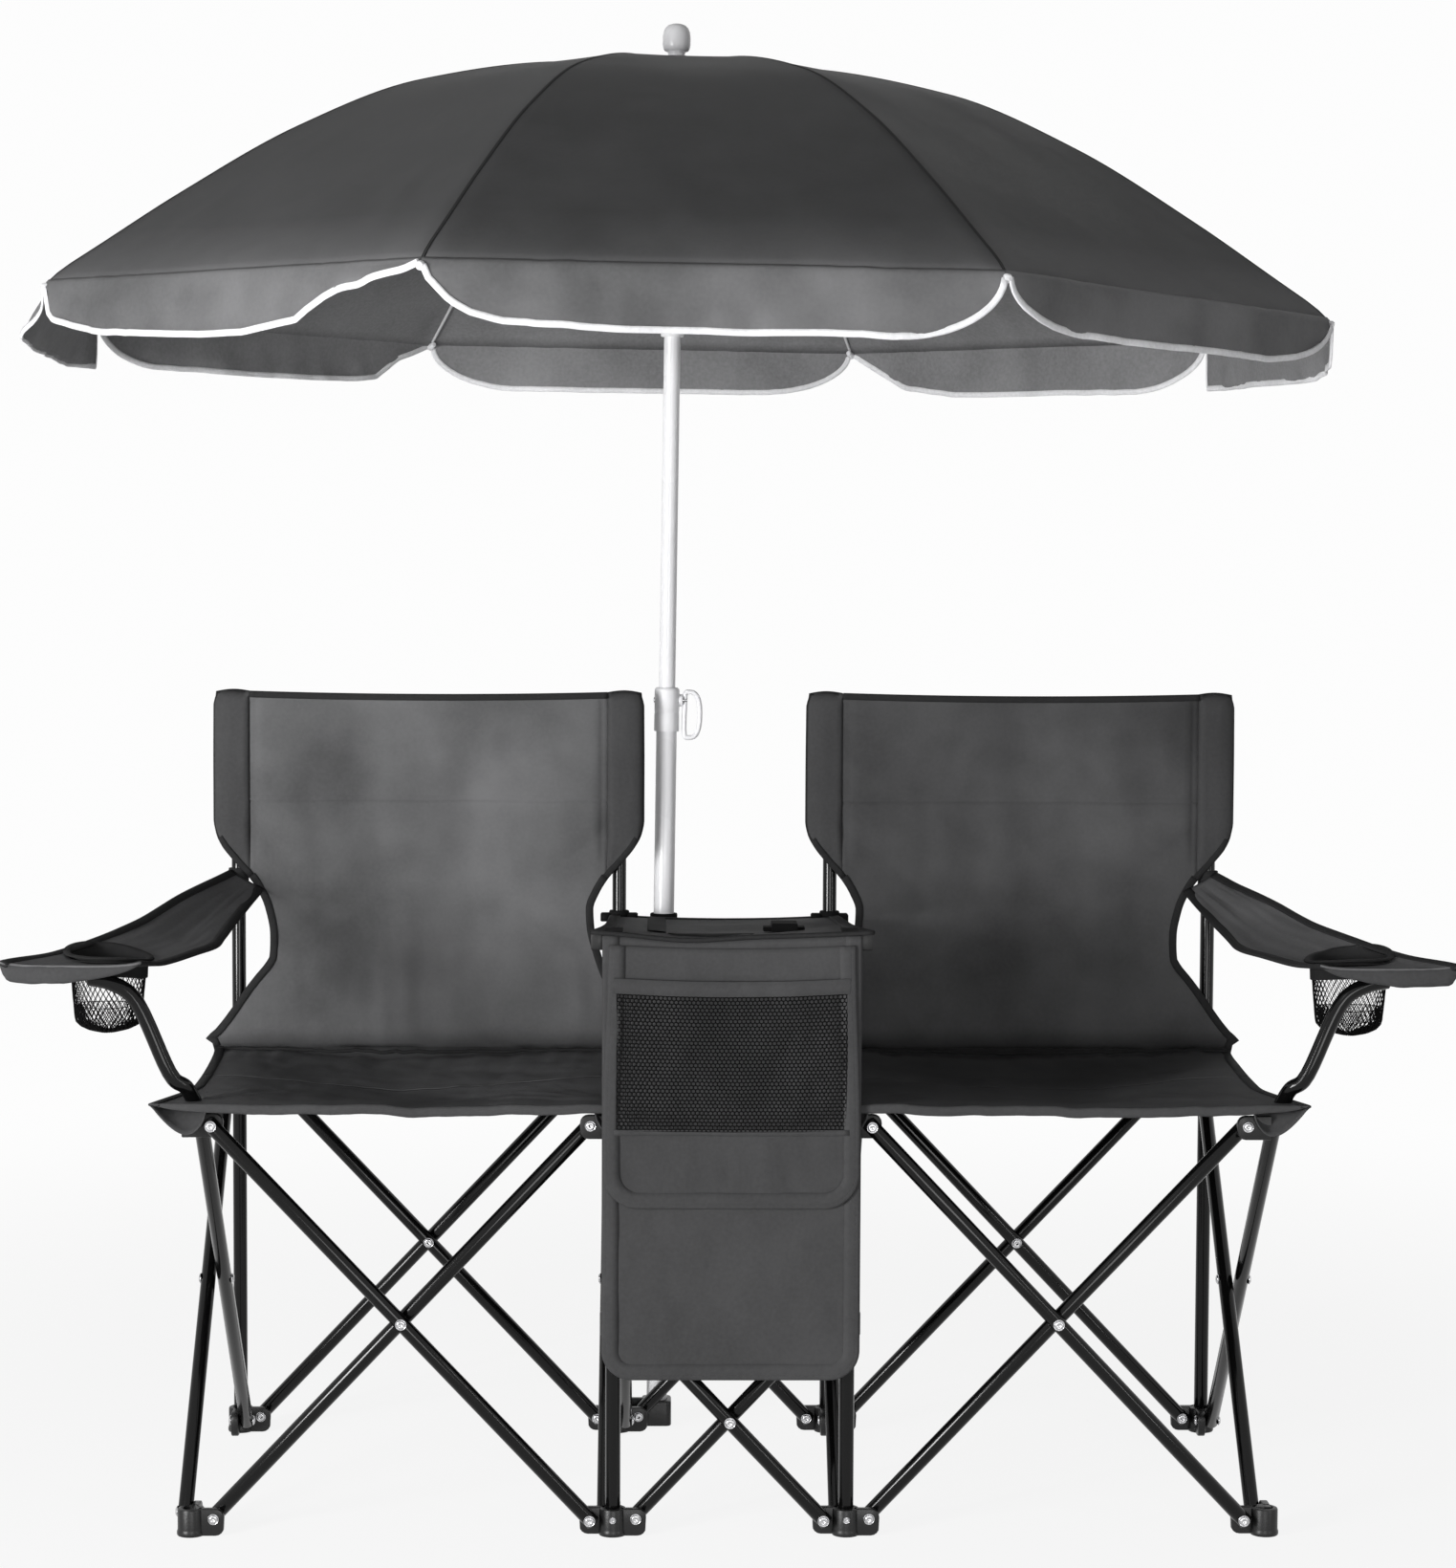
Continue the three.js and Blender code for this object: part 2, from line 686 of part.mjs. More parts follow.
function armrest(side) {
  const strap = (u, v) => {
    const row = Math.min(armRows - 1, Math.floor(v * armRows + mergeTolerance));
    const along = THREE.MathUtils.lerp(armShapeShares[row][0], armShapeShares[row + 1][0], v * armRows - row);
    return armPoint(side, u, along);
  };
  const pad = clothSlab(strap, padAcross, armRows, armThickness);
  const loop = cylinder(tubeRadius + slideFit + loopThickness, loopHeight, hubSides,
    boreRadius(tubeRadius, seatFit, hubSides));
  loop.translate(side * outerColumn, rearRow, armRearHeight - loopHeight / 2);
  const cupY = cupSetback - armOverhang;
  const cupShare = (armRear - cupY) / (armRear + armOverhang);
  const [frontX, , rimZ] = armPoint(side, 0.5, cupShare);
  const cupX = frontX + side * cupOffset;
  const top = cupDiameter / 2;
  const cup = turned([
    [0, -cupDepth],
    [top - cupTaper, -cupDepth],
    [top, 0],
    [top - cupWall, 0],
    [top - cupTaper - cupWall, cupWall - cupDepth],
    [0, cupWall - cupDepth],
  ], cupSides);
  cup.translate(cupX, cupY, rimZ);
  const mouth = cylinder(top - cupWall, armThickness + 2 * mouthMargin, cupSides);
  mouth.translate(cupX, cupY, rimZ - armThickness / 2);
  return solidOf(pad).subtract(solidOf(mouth)).add(solidOf(cup)).add(solidOf(loop));
}
addMesh('left_armrest', armrest(-1), cloth);
addMesh('right_armrest', armrest(1), cloth);

// Table: a cloth stretched over the two legs and tied to the inner back poles and the umbrella pole
const poleX = -innerColumn + poleFromLeg;
const poleY = rearRow + poleSetback;
const leanTurn = THREE.MathUtils.degToRad(poleLean);
function tableTop() {
  let top = solidOf(clothSlab(tablePoint, tableAcross, tableAlong, tableThickness));
  const rearZ = tableHeight - tableDrop - tableSag;
  const loopX = poleX + rearZ * Math.tan(leanTurn);
  const loopRadius = lowerPoleDiameter / 2 + slideFit + loopThickness;
  const tab = boxBetween([loopX - loopRadius, tableRear - tableMargin, rearZ - tableThickness],
    [loopX + loopRadius, poleY, rearZ + tableThickness]);
  const loop = cylinder(loopRadius, loopHeight / 2, hubSides);
  loop.translate(loopX, poleY, rearZ - loopHeight / 4);
  top = top.add(solidOf(tab)).add(solidOf(loop));
  const bores = [
    [loopX, poleY, boreRadius(lowerPoleDiameter / 2, slideFit, hubSides)],
    [-innerColumn, rearRow, boreRadius(tubeRadius, seatFit, hubSides)],
    [innerColumn, rearRow, boreRadius(tubeRadius, seatFit, hubSides)],
  ];
  bores.forEach(([x, y, radius]) => {
    const bore = cylinder(radius, tableHeight, hubSides);
    bore.translate(x, y, tableDrop);
    top = top.subtract(solidOf(bore));
  });
  return top;
}
addMesh('table_top', tableTop(), cloth);

// Cooler: a wide front panel before the legs, and an insulated bag behind them with an open top
const panelBack = Math.min(frontFace, -seatOverhang - clothThickness) - seatFit;
const tableOver = tablePoint(1 / 2, (panelBack - tableFront) / (tableRear - tableFront));
const panelTop = tableOver[2] - tableThickness / 2 - seatFit;
const coolerFront = tubePlane + tubeRadius + rivetProud + coolerWall;
function cooler() {
  const half = coolerWidth / 2;
  const inner = half - coolerWall;
  const rear = coolerFront + coolerDepth;
  const bagBottom = panelBottom + coolerWall;
  const panel = hangingSheet(panelWidth, panelTop, panelBottom, panelCorner, panelThickness,
    panelBack - panelThickness);
  const neck = boxBetween([-half, panelBack - panelThickness / 2, coolerNeckBottom],
    [half, coolerFront + coolerWall, coolerTop]);
  const bag = boxBetween([-half, coolerFront, bagBottom], [half, rear, coolerTop]);
  const neckSpace = boxBetween([-inner, panelBack, coolerNeckBottom + coolerWall],
    [inner, coolerFront + 2 * coolerWall, coolerTop + overrun]);
  const bagSpace = boxBetween([-inner, coolerFront + coolerWall, bagBottom + coolerWall],
    [inner, rear - coolerWall, coolerTop + overrun]);
  return join([panel, neck, bag].map(solidOf)).subtract(solidOf(neckSpace)).subtract(solidOf(bagSpace));
}
addMesh('cooler_bag', cooler(), cloth);

// Flap over the cooler's front, with an open-topped net pocket sewn on it
function flap() {
  const front = panelBack - panelThickness - flapGap - flapThickness;
  const sheet = hangingSheet(panelWidth, panelTop, flapBottom, flapCorner, flapThickness, front);
  const half = panelWidth / 2 - netMargin;
  const pocketFront = front - pocketDepth - netThickness;
  const strips = [
    boxBetween([-half - hemWidth, pocketFront, netBottom], [-half, front + overrun / 2, netTop + hemWidth]),
    boxBetween([half, pocketFront, netBottom], [half + hemWidth, front + overrun / 2, netTop + hemWidth]),
    boxBetween([-half - hemWidth, pocketFront, netBottom - hemWidth],
      [half + hemWidth, front + overrun / 2, netBottom]),
    boxBetween([-half - hemWidth, pocketFront, netTop], [half + hemWidth, front - pocketDepth, netTop + hemWidth]),
  ];
  const outline = new THREE.Shape();
  outline.moveTo(-half - hemWidth / 2, netBottom - hemWidth / 2);
  outline.lineTo(half + hemWidth / 2, netBottom - hemWidth / 2);
  outline.lineTo(half + hemWidth / 2, netTop + hemWidth / 2);
  outline.lineTo(-half - hemWidth / 2, netTop + hemWidth / 2);
  const pitchX = 2 * half / netColumns;
  const pitchZ = (netTop - netBottom) / netRows;
  for (let i = 0; i < netColumns; i += 1) {
    for (let j = 0; j < netRows; j += 1) {
      const x = -half + (i + 0.5) * pitchX;
      const z = netBottom + (j + 0.5) * pitchZ;
      const reachX = (pitchX - netBar) / 2;
      const reachZ = (pitchZ - netBar) / 2;
      const gap = new THREE.Path();
      gap.moveTo(x - reachX, z);
      gap.lineTo(x, z + reachZ);
      gap.lineTo(x + reachX, z);
      gap.lineTo(x, z - reachZ);
      outline.holes.push(gap);
    }
  }
  const net = new THREE.ExtrudeGeometry(outline, { depth: netThickness, bevelEnabled: false });
  net.rotateX(Math.PI / 2);
  net.translate(0, pocketFront + netThickness, 0);
  return join([sheet, ...strips, net].map(solidOf));
}
addMesh('cooler_flap', flap(), cloth);

// Umbrella socket on the inner left rear foot
function socket() {
  const cup = cylinder(socketDiameter / 2, socketHeight, hubSides);
  const behindFoot = rearRow + hubDiameter / 2 + seatFit;
  const behindTubes = rearRow + tubePlane + tubeRadius + rivetProud + seatFit;
  cup.translate(poleX, poleY, 0);
  const pad = boxBetween([-innerColumn - hubDiameter / 4, behindFoot, socketFloor],
    [-innerColumn + hubDiameter / 4, behindTubes + socketLinkThickness, socketHeight]);
  const link = boxBetween([-innerColumn, behindTubes, socketFloor],
    [poleX, behindTubes + socketLinkThickness, socketHeight]);
  const bore = cylinder(boreRadius(lowerPoleDiameter / 2, socketFit, hubSides), socketHeight, hubSides);
  bore.translate(poleX, poleY, socketFloor);
  return join([cup, pad, link].map(solidOf)).subtract(solidOf(bore));
}
addMesh('umbrella_socket', socket(), plastic);

const umbrella = new THREE.Group();
umbrella.position.set(poleX, poleY, 0);
umbrella.rotation.y = leanTurn;
group.add(umbrella);
const addUmbrella = (name, solid, look) => addMesh(name, solid, look, [0, 0, 0], umbrella);

// Telescopic pole, its clamp and the screw with a ring handle
const lowerRadius = lowerPoleDiameter / 2;
const upperRadius = upperPoleDiameter / 2;
const finialBase = canopyTop + canopyThickness / 2 + seatFit;
function lowerPole() {
  const bottom = socketFloor + slideFit;
  const geometry = cylinder(lowerRadius, lowerPoleTop - bottom, hubSides, lowerRadius - poleWall);
  geometry.translate(0, 0, bottom);
  return solidOf(geometry);
}
function upperPole() {
  const finial = finialDiameter / 2;
  const bore = upperRadius - poleWall;
  return solidOf(turned([
    [bore, upperPoleBottom],
    [upperRadius, upperPoleBottom],
    [upperRadius, finialBase],
    [finial * finialNeckShare, finialBase],
    [finial, finialBase + finialHeight * finialBeltShare],
    [finial, finialBase + finialHeight * finialShoulderShare],
    [finial * finialCrownShare, finialBase + finialHeight],
    [0, finialBase + finialHeight],
    [0, finialBase],
    [bore, finialBase - poleWall],
    [bore, upperPoleBottom],
  ], tubeSides));
}
const collarTop = lowerPoleTop + collarHeight - collarOverlap + collarLip;
const screwZ = lowerPoleTop + (collarTop - lowerPoleTop) * screwShare;
function collar() {
  const outer = collarDiameter / 2;
  const low = lowerPoleTop - collarOverlap;
  const upperBore = boreRadius(upperRadius, seatFit, hubSides);
  const lowerBore = boreRadius(lowerRadius, seatFit, hubSides);
  const ring = turned([
    [lowerBore, low],
    [outer, low],
    [outer, collarTop - collarLip],
    [outer - collarLip / 2, collarTop],
    [upperBore, collarTop],
    [upperBore, lowerPoleTop + seatFit],
    [lowerBore, lowerPoleTop + seatFit],
    [lowerBore, low],
  ], hubSides);
  const boss = rod([outer - poleWall, 0, screwZ], [outer + bossReach, 0, screwZ], knobDiameter);
  const hole = rod([0, 0, screwZ], [outer + bossReach + overrun, 0, screwZ],
    knobDiameter / 2 + slideFit, hubSides);
  return solidOf(ring).add(solidOf(boss)).subtract(solidOf(hole));
}
function knob() {
  const screw = rod([upperRadius + seatFit, 0, screwZ],
    [collarDiameter / 2 + bossReach + ringBar, 0, screwZ], knobDiameter / 2);
  const inner = collarDiameter / 2 + bossReach + slideFit;
  const loop = new THREE.Shape();
  const top = screwZ + knobRise;
  const bottom = screwZ - knobDrop;
  const bow = (shape, low, high, left, right) => {
    shape.moveTo(left, low);
    shape.bezierCurveTo(right, low, right, low, right, (low + high) / 2);
    shape.bezierCurveTo(right, high, right, high, left, high);
  };
  bow(loop, bottom, top, inner, inner + knobReach);
  const eye = new THREE.Path();
  bow(eye, bottom + ringBar, top - ringBar, inner + ringBar, inner + knobReach - ringBar);
  loop.holes.push(eye);
  const handle = new THREE.ExtrudeGeometry(loop, { depth: ringBar, bevelEnabled: false, curveSegments: 4 });
  handle.rotateX(Math.PI / 2);
  handle.translate(0, ringBar / 2, 0);
  return solidOf(screw).add(solidOf(handle));
}
addUmbrella('umbrella_lower_pole', lowerPole(), white);
addUmbrella('umbrella_upper_pole', upperPole(), white);
addUmbrella('umbrella_clamp', collar(), white);
addUmbrella('clamp_screw', knob(), white);

// Canopy: eight gores stretched straight between curved ribs, with a scalloped valance
const canopyHole = boreRadius(upperRadius, seatFit, gores);
const seamRadius = (share) => THREE.MathUtils.lerp(canopyHole, canopyRadius, Math.min(1, share));
const seamHeight = (share) => canopyTop - canopyDrop * (seamRadius(share) / canopyRadius) ** canopyCurve;
const ribTurn = (k) => THREE.MathUtils.degToRad(goreTurn + (k + 0.5) * 360 / gores);
function canopyPoint(u, v) {
  const domeShare = domeSteps / (domeSteps + valanceSteps);
  const turn = (u * gores) % gores;
  const gore = Math.floor(turn + mergeTolerance);
  const s = turn - gore;
  const radius = seamRadius(v / domeShare);
  const [a, b] = [ribTurn(gore), ribTurn(gore + 1)];
  const x = radius * THREE.MathUtils.lerp(Math.cos(a), Math.cos(b), s);
  const y = radius * THREE.MathUtils.lerp(Math.sin(a), Math.sin(b), s);
  const fromTip = Math.min(1, Math.min(s, 1 - s) / valanceCornerShare);
  const depth = valanceDrop * Math.max(valanceTipShare, Math.sqrt(1 - (1 - fromTip) ** 2));
  const hang = Math.max(0, (v - domeShare) / (1 - domeShare));
  return [x, y, seamHeight(v / domeShare) - depth * hang];
}
// A rib lies under its seam, which is straight from one step of the dome to the next
function ribUnder(radius) {
  const steps = (radius - canopyHole) / (canopyRadius - canopyHole) * domeSteps;
  const step = Math.min(domeSteps - 1, Math.max(0, Math.floor(steps)));
  const [low, high] = [seamHeight(step / domeSteps), seamHeight((step + 1) / domeSteps)];
  return THREE.MathUtils.lerp(low, high, steps - step) - ribDrop;
}
function ribFrame() {
  const ring = (height, top) => {
    const bore = boreRadius(upperRadius, seatFit, gores);
    const geometry = cylinder(runnerDiameter / 2, height, gores, bore);
    geometry.translate(0, 0, top - height);
    return geometry;
  };
  const pieces = [ring(hubPlateLength, canopyTop - ribDrop), ring(runnerLength, runnerHeight)];
  const hubRadius = runnerDiameter / 2 - ribDiameter;
  const stops = [hubRadius];
  for (let step = 1; step < domeSteps; step += 1) {
    stops.push(seamRadius(step / domeSteps));
  }
  stops.push(canopyRadius - ribInset);
  const joint = canopyRadius * stretcherShare;
  for (let k = 0; k < gores; k += 1) {
    const upper = stops.map((radius) => new THREE.Vector2(radius, ribUnder(radius)));
    const lower = upper.map(({ x, y }) => new THREE.Vector2(x, y - ribDiameter)).reverse();
    const rib = new THREE.Shape([...upper, ...lower]);
    const bar = new THREE.ExtrudeGeometry(rib, { depth: ribDiameter, bevelEnabled: false });
    bar.rotateX(Math.PI / 2);
    bar.translate(0, ribDiameter / 2, 0);
    const stretcher = rod([hubRadius, 0, runnerHeight - 2 * ribDiameter],
      [joint, 0, ribUnder(joint) - ribDiameter / 2], ribDiameter / 2, ribSides);
    [bar, stretcher].forEach((piece) => pieces.push(piece.rotateZ(ribTurn(k))));
  }
  return join(pieces.map(solidOf));
}
addUmbrella('umbrella_ribs', ribFrame(), white);
addUmbrella('umbrella_canopy', solidOf(clothSlab(canopyPoint, gores * goreSteps,
  domeSteps + valanceSteps, canopyThickness, true)), cloth);

const bounds = new THREE.Box3().setFromObject(group);
const middle = bounds.getCenter(new THREE.Vector3());
group.position.set(-middle.x, -middle.y, -bounds.min.z);
export default group;
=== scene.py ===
import bpy
import bmesh
import json
import math
import numpy as np
from mathutils import Matrix, Vector, noise


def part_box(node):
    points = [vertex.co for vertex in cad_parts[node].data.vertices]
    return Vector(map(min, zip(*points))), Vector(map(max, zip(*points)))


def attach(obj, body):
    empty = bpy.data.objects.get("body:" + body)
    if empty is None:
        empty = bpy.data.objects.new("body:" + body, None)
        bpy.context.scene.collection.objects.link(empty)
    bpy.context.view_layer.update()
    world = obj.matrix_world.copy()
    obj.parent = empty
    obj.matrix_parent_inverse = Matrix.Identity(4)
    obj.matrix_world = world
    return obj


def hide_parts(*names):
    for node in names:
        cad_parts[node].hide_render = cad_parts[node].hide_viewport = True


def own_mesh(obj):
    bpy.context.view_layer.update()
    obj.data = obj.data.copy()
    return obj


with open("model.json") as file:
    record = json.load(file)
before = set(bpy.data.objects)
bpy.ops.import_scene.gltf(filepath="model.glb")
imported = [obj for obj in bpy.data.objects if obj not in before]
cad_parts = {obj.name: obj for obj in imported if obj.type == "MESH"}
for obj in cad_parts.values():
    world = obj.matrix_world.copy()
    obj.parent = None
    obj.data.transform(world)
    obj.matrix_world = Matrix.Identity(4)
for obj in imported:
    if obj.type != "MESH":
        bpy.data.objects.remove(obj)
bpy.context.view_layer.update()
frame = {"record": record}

# The CAD sizes that the pieces follow, in millimetres, before the model is centred
OX, OY = 6.23355, -476.0
INNER, OUTER, ROW = 122.0, 562.0, 440.0
PIN, PIN_Z, UP_Z, MID_Z = 24.0, 18.0, 432.0, 225.0
TUBE, PLANE = 8.0, 9.0
COLUMNS = {"outer_left": -OUTER, "inner_left": -INNER, "inner_right": INNER, "outer_right": OUTER}
ROWS = {"front": 0.0, "rear": ROW}
BAYS = {"left": ("outer_left", "inner_left"), "middle": ("inner_left", "inner_right"),
        "right": ("inner_right", "outer_right")}
BODY = {n: b for b, names in frame["record"]["behaviour"]["bodies"].items() for n in names}
ROOT = BODY["rear_inner_left_foot"]


# Cloth thicknesses in millimetres
CLOTH, PADDED_CLOTH, TAPE, CANOPY_CLOTH = 1.3, 2.2, 0.5, 0.9


def pt(x, y, z):
    """A point given in CAD millimetres, in the model's metres."""
    return Vector(((x + OX) / 1000, (y + OY) / 1000, z / 1000))


def ease(t):
    """A smooth step from 0 to 1, level at both ends."""
    t = min(1.0, max(0.0, t))
    return t * t * (3 - 2 * t)


def lerp(a, b, t):
    return a + (b - a) * t


# ---------------------------------------------------------------- camera and light
# The brightness of the backdrop and of the floor far from the chair
WHITE = 0.98


def camera():
    yaw, pitch, roll = map(math.radians, (1.093, -3.708, 0.271))
    f = Vector((math.sin(yaw) * math.cos(pitch), math.cos(yaw) * math.cos(pitch), math.sin(pitch)))
    r = Vector((math.cos(yaw), -math.sin(yaw), 0))
    u = Vector((-math.sin(yaw) * math.sin(pitch), -math.cos(yaw) * math.sin(pitch), math.cos(pitch)))
    r2 = r * math.cos(roll) + u * math.sin(roll)
    u2 = -r * math.sin(roll) + u * math.cos(roll)
    data = bpy.data.cameras.new("camera")
    data.sensor_fit = "AUTO"
    data.sensor_width = 36
    data.lens = 81.25
    data.clip_end = 200
    cam = bpy.data.objects.new("camera", data)
    bpy.context.scene.collection.objects.link(cam)
    place = pt(-74.5, -3647.6, 1023.6)
    cam.matrix_world = Matrix(((r2.x, u2.x, -f.x, place.x), (r2.y, u2.y, -f.y, place.y),
                               (r2.z, u2.z, -f.z, place.z), (0, 0, 0, 1)))
    bpy.context.scene.camera = cam


def area(name, place, aim, size, power):
    data = bpy.data.lights.new(name, "AREA")
    data.shape = "RECTANGLE"
    data.size, data.size_y = size
    data.energy = power
    lamp = bpy.data.objects.new(name, data)
    bpy.context.scene.collection.objects.link(lamp)
    lamp.location = place
    lamp.rotation_euler = (Vector(aim) - Vector(place)).to_track_quat("-Z", "Y").to_euler()


def math_node(nt, operation, a, b):
    node = nt.nodes.new("ShaderNodeMath")
    node.operation = operation
    nt.links.new(a, node.inputs[0])
    nt.links.new(b, node.inputs[1])
    return node.outputs[0]


def seen_or_mirrored(nt):
    """1 for rays from the camera, off a gloss or through glass, and 0 for light."""
    path = nt.nodes.new("ShaderNodeLightPath")
    seen = path.outputs["Is Camera Ray"]
    for word in ("Is Glossy Ray", "Is Transmission Ray"):
        seen = math_node(nt, "MAXIMUM", seen, path.outputs[word])
    return seen


def mix_shaders(nt, share, low, high, end):
    mix = nt.nodes.new("ShaderNodeMixShader")
    for k, socket in enumerate((share, low, high)):
        nt.links.new(socket, mix.inputs[k])
    nt.links.new(mix.outputs[0], end.inputs["Surface"])


def backdrop():
    """A world that is white to look at and dim as a light."""
    world = bpy.data.worlds.new("world")
    bpy.context.scene.world = world
    world.use_nodes = True
    nt = world.node_tree
    nt.nodes.clear()
    shades = []
    for shade, strength in ((1.0, 0.08), (WHITE, 1.0)):
        light = nt.nodes.new("ShaderNodeBackground")
        light.inputs["Color"].default_value = (shade, shade, shade, 1)
        light.inputs["Strength"].default_value = strength
        shades.append(light.outputs[0])
    mix_shaders(nt, seen_or_mirrored(nt), *shades, nt.nodes.new("ShaderNodeOutputWorld"))


def lamps():
    area("key", (-2.7, -3.0, 0.85), (-0.1, 0, 0.8), (1.1, 0.9), 98)
    area("fill", (0.4, -4.8, 0.7), (0.3, 0, 0.8), (1.6, 1.2), 42)
    area("high", (-1.6, -3.4, 2.9), (-0.1, 0, 1.3), (0.8, 0.8), 5)
    area("strip_left", (-2.3, -2.4, 0.9), (0, 0, 0.3), (0.12, 1.5), 26)
    area("strip_right", (2.3, -2.4, 0.9), (0, 0, 0.3), (0.12, 1.5), 10)


def ground():
    """A floor that catches a faint shadow under the chair and fades into the white further out."""
    bpy.ops.mesh.primitive_plane_add(size=80, location=(0, 0, -0.0005))
    floor = bpy.context.object
    floor.name = "floor"
    n = Nodes("floor")
    n.put("Base Color", (0.93, 0.93, 0.93, 1))
    n.put("Roughness", 0.9)
    n.put("Specular IOR Level", 0.0)
    glow = n.add("Emission", Color=(WHITE, WHITE, WHITE, 1))
    far = n.add("VectorMath", _operation="LENGTH", i0=n.add("TexCoord").outputs["Object"])
    near, away, near_share, away_share = 0.6, 2.6, 0.9, 1.0
    fade = n.add("MapRange", _interpolation_type="SMOOTHSTEP", i0=far.outputs["Value"],
                 i1=near, i2=away, i3=near_share, i4=away_share)
    share = math_node(n.tree, "MULTIPLY", seen_or_mirrored(n.tree), fade.outputs[0])
    mix_shaders(n.tree, share, n.bsdf.outputs[0], glow.outputs[0], n.tree.nodes["Material Output"])
    floor.data.materials.append(n.material)


# ---------------------------------------------------------------- materials
class Nodes:
    """A short way to add and join shader nodes."""

    def __init__(self, name):
        self.material = bpy.data.materials.new(name)
        self.material.use_nodes = True
        self.tree = self.material.node_tree
        self.bsdf = self.tree.nodes["Principled BSDF"]

    def add(self, kind, **inputs):
        n = self.tree.nodes.new("ShaderNode" + kind)
        for key, value in inputs.items():
            if key.startswith("_"):
                setattr(n, key[1:], value)
                continue
            numbered = key[0] == "i" and key[1:].isdigit()
            socket = n.inputs[int(key[1:])] if numbered else n.inputs[key.replace("__", " ")]
            if isinstance(value, bpy.types.NodeSocket):
                self.tree.links.new(value, socket)
            else:
                socket.default_value = value
        return n

    def math(self, op, a, b=0.0):
        return self.add("Math", _operation=op, i0=a, i1=b).outputs[0]

    def put(self, name, value):
        if isinstance(value, bpy.types.NodeSocket):
            self.tree.links.new(value, self.bsdf.inputs[name])
        else:
            self.bsdf.inputs[name].default_value = value

    def shade(self, factor, low, high):
        """A grey or tint that goes from low to high with factor."""
        m = self.add("Mix", _data_type="RGBA")
        self.tree.links.new(factor, m.inputs[0])
        m.inputs[6].default_value = (*low, 1)
        m.inputs[7].default_value = (*high, 1)
        return m.outputs[2]

    def range(self, value, a, b, c, d):
        return self.add("MapRange", i0=value, i1=a, i2=b, i3=c, i4=d).outputs[0]


def grey(v):
    return (v, v, v * 1.02)


def fabric(name, value, pitch=0.0009, rumple=1.0, rough=0.62, seam=None, spec=0.03, cloud=1.0,
           rim=None, slubs=0.3, crease=None):
    """Woven polyester: threads, a blotchy tone that is partly uneven dye and partly painted mottled
    highlights and fold shade (more so as cloud grows), and a soft rumple. seam is the stitch line's place
    across a binding, rim is where a canopy's edge is painted lighter as a painted highlight, and crease is
    how far down the cloth, in metres, a band of painted shade lies."""
    n = Nodes(name)
    coord = n.add("TexCoord")
    uv = n.add("SeparateXYZ", i0=coord.outputs["UV"])

    def wave(along, length):
        return n.math("SINE", n.math("MULTIPLY", along, 2 * math.pi / length))

    def uneven(scale, detail, **more):
        return n.add("TexNoise", Vector=coord.outputs["Object"], Scale=scale, Detail=detail,
                     **more).outputs[0]

    weave = n.math("MULTIPLY", wave(uv.outputs[0], pitch), wave(uv.outputs[1], pitch))
    slub = uneven(240.0, 2.0)
    wide = uneven(5.5, 3.0, Roughness=0.55)
    tone = n.math("ADD", n.math("MULTIPLY", wide, 1 - slubs), n.math("MULTIPLY", slub, slubs))
    tone = n.math("ADD", tone, n.math("MULTIPLY", weave, 0.08))
    tone = n.range(tone, 0.3, 0.7, 0.0, 1.0)
    # The blotchy tone's spread, set by cloud, paints soft mottled highlights and fold shade into the colour
    # as well as uneven dye
    colour = n.shade(tone, grey(value * (1 - 0.18 * cloud)), grey(value * (1 + 0.2 * cloud)))
    shares = []
    # rim paints the canopy's outer edge lighter: a painted highlight
    if rim:
        shares.append(n.range(uv.outputs[1], rim[0], rim[1], 1.0, rim[2]))
    # crease paints a band of shade across the cloth where the back turns into the seat
    if crease:
        away = n.math("ABSOLUTE", n.math("ADD", uv.outputs[1], crease))
        dark = n.add("MapRange", _interpolation_type="SMOOTHSTEP", i0=away, i1=0.0, i2=0.03, i3=0.42,
                     i4=1.0)
        shares.append(dark.outputs[0])
    for share in shares:
        colour = n.add("VectorMath", _operation="SCALE", i0=colour, Scale=share).outputs[0]
    n.put("Base Color", colour)
    n.put("Roughness", n.range(wide, 0.3, 0.7, rough - 0.07, rough + 0.08))
    n.put("Specular IOR Level", spec)
    soft = uneven(17.0, 2.5, Roughness=0.5)
    bumps = n.add("Bump", Strength=0.3 * rumple, Distance=0.004, Height=soft)
    height = weave
    if seam is not None:
        across = n.math("ABSOLUTE", n.math("SUBTRACT", uv.outputs[1], seam))
        line = n.range(across, 0.0003, 0.0009, 1.0, 0.0)
        dash = n.range(wave(uv.outputs[0], 0.0042), -0.75, -0.35, 0.0, 1.0)
        thread = n.math("MULTIPLY", n.math("MULTIPLY", line, dash), 3.0)
        stitch = n.math("SUBTRACT", thread, n.math("MULTIPLY", line, 3.5))
        height = n.math("ADD", n.math("MULTIPLY", weave, 0.5), stitch)
    threads = n.add("Bump", Strength=0.35, Distance=0.00022, Height=height, Normal=bumps.outputs[0])
    n.put("Normal", threads.outputs[0])
    return n.material


def paint(name, value, rough, coat=0.0, bump=0.02, spec=0.5, scale=420.0, metal=0.0):
    """Painted or moulded surface with a faint orange peel and uneven gloss."""
    n = Nodes(name)
    coord = n.add("TexCoord")
    peel = n.add("TexNoise", Vector=coord.outputs["Object"], Scale=scale, Detail=2.0).outputs[0]
    wide = n.add("TexNoise", Vector=coord.outputs["Object"], Scale=9.0, Detail=3.0).outputs[0]
    n.put("Base Color", n.shade(wide, grey(value * 0.9), grey(value * 1.1)))
    n.put("Roughness", n.range(wide, 0.3, 0.7, rough * 0.85, rough * 1.2))
    n.put("Specular IOR Level", spec)
    n.put("Metallic", metal)
    n.put("Coat Weight", coat)
    n.put("Coat Roughness", 0.06)
    n.put("Normal", n.add("Bump", Strength=bump * 10, Distance=0.0002, Height=peel).outputs[0])
    return n.material


MAT = {}


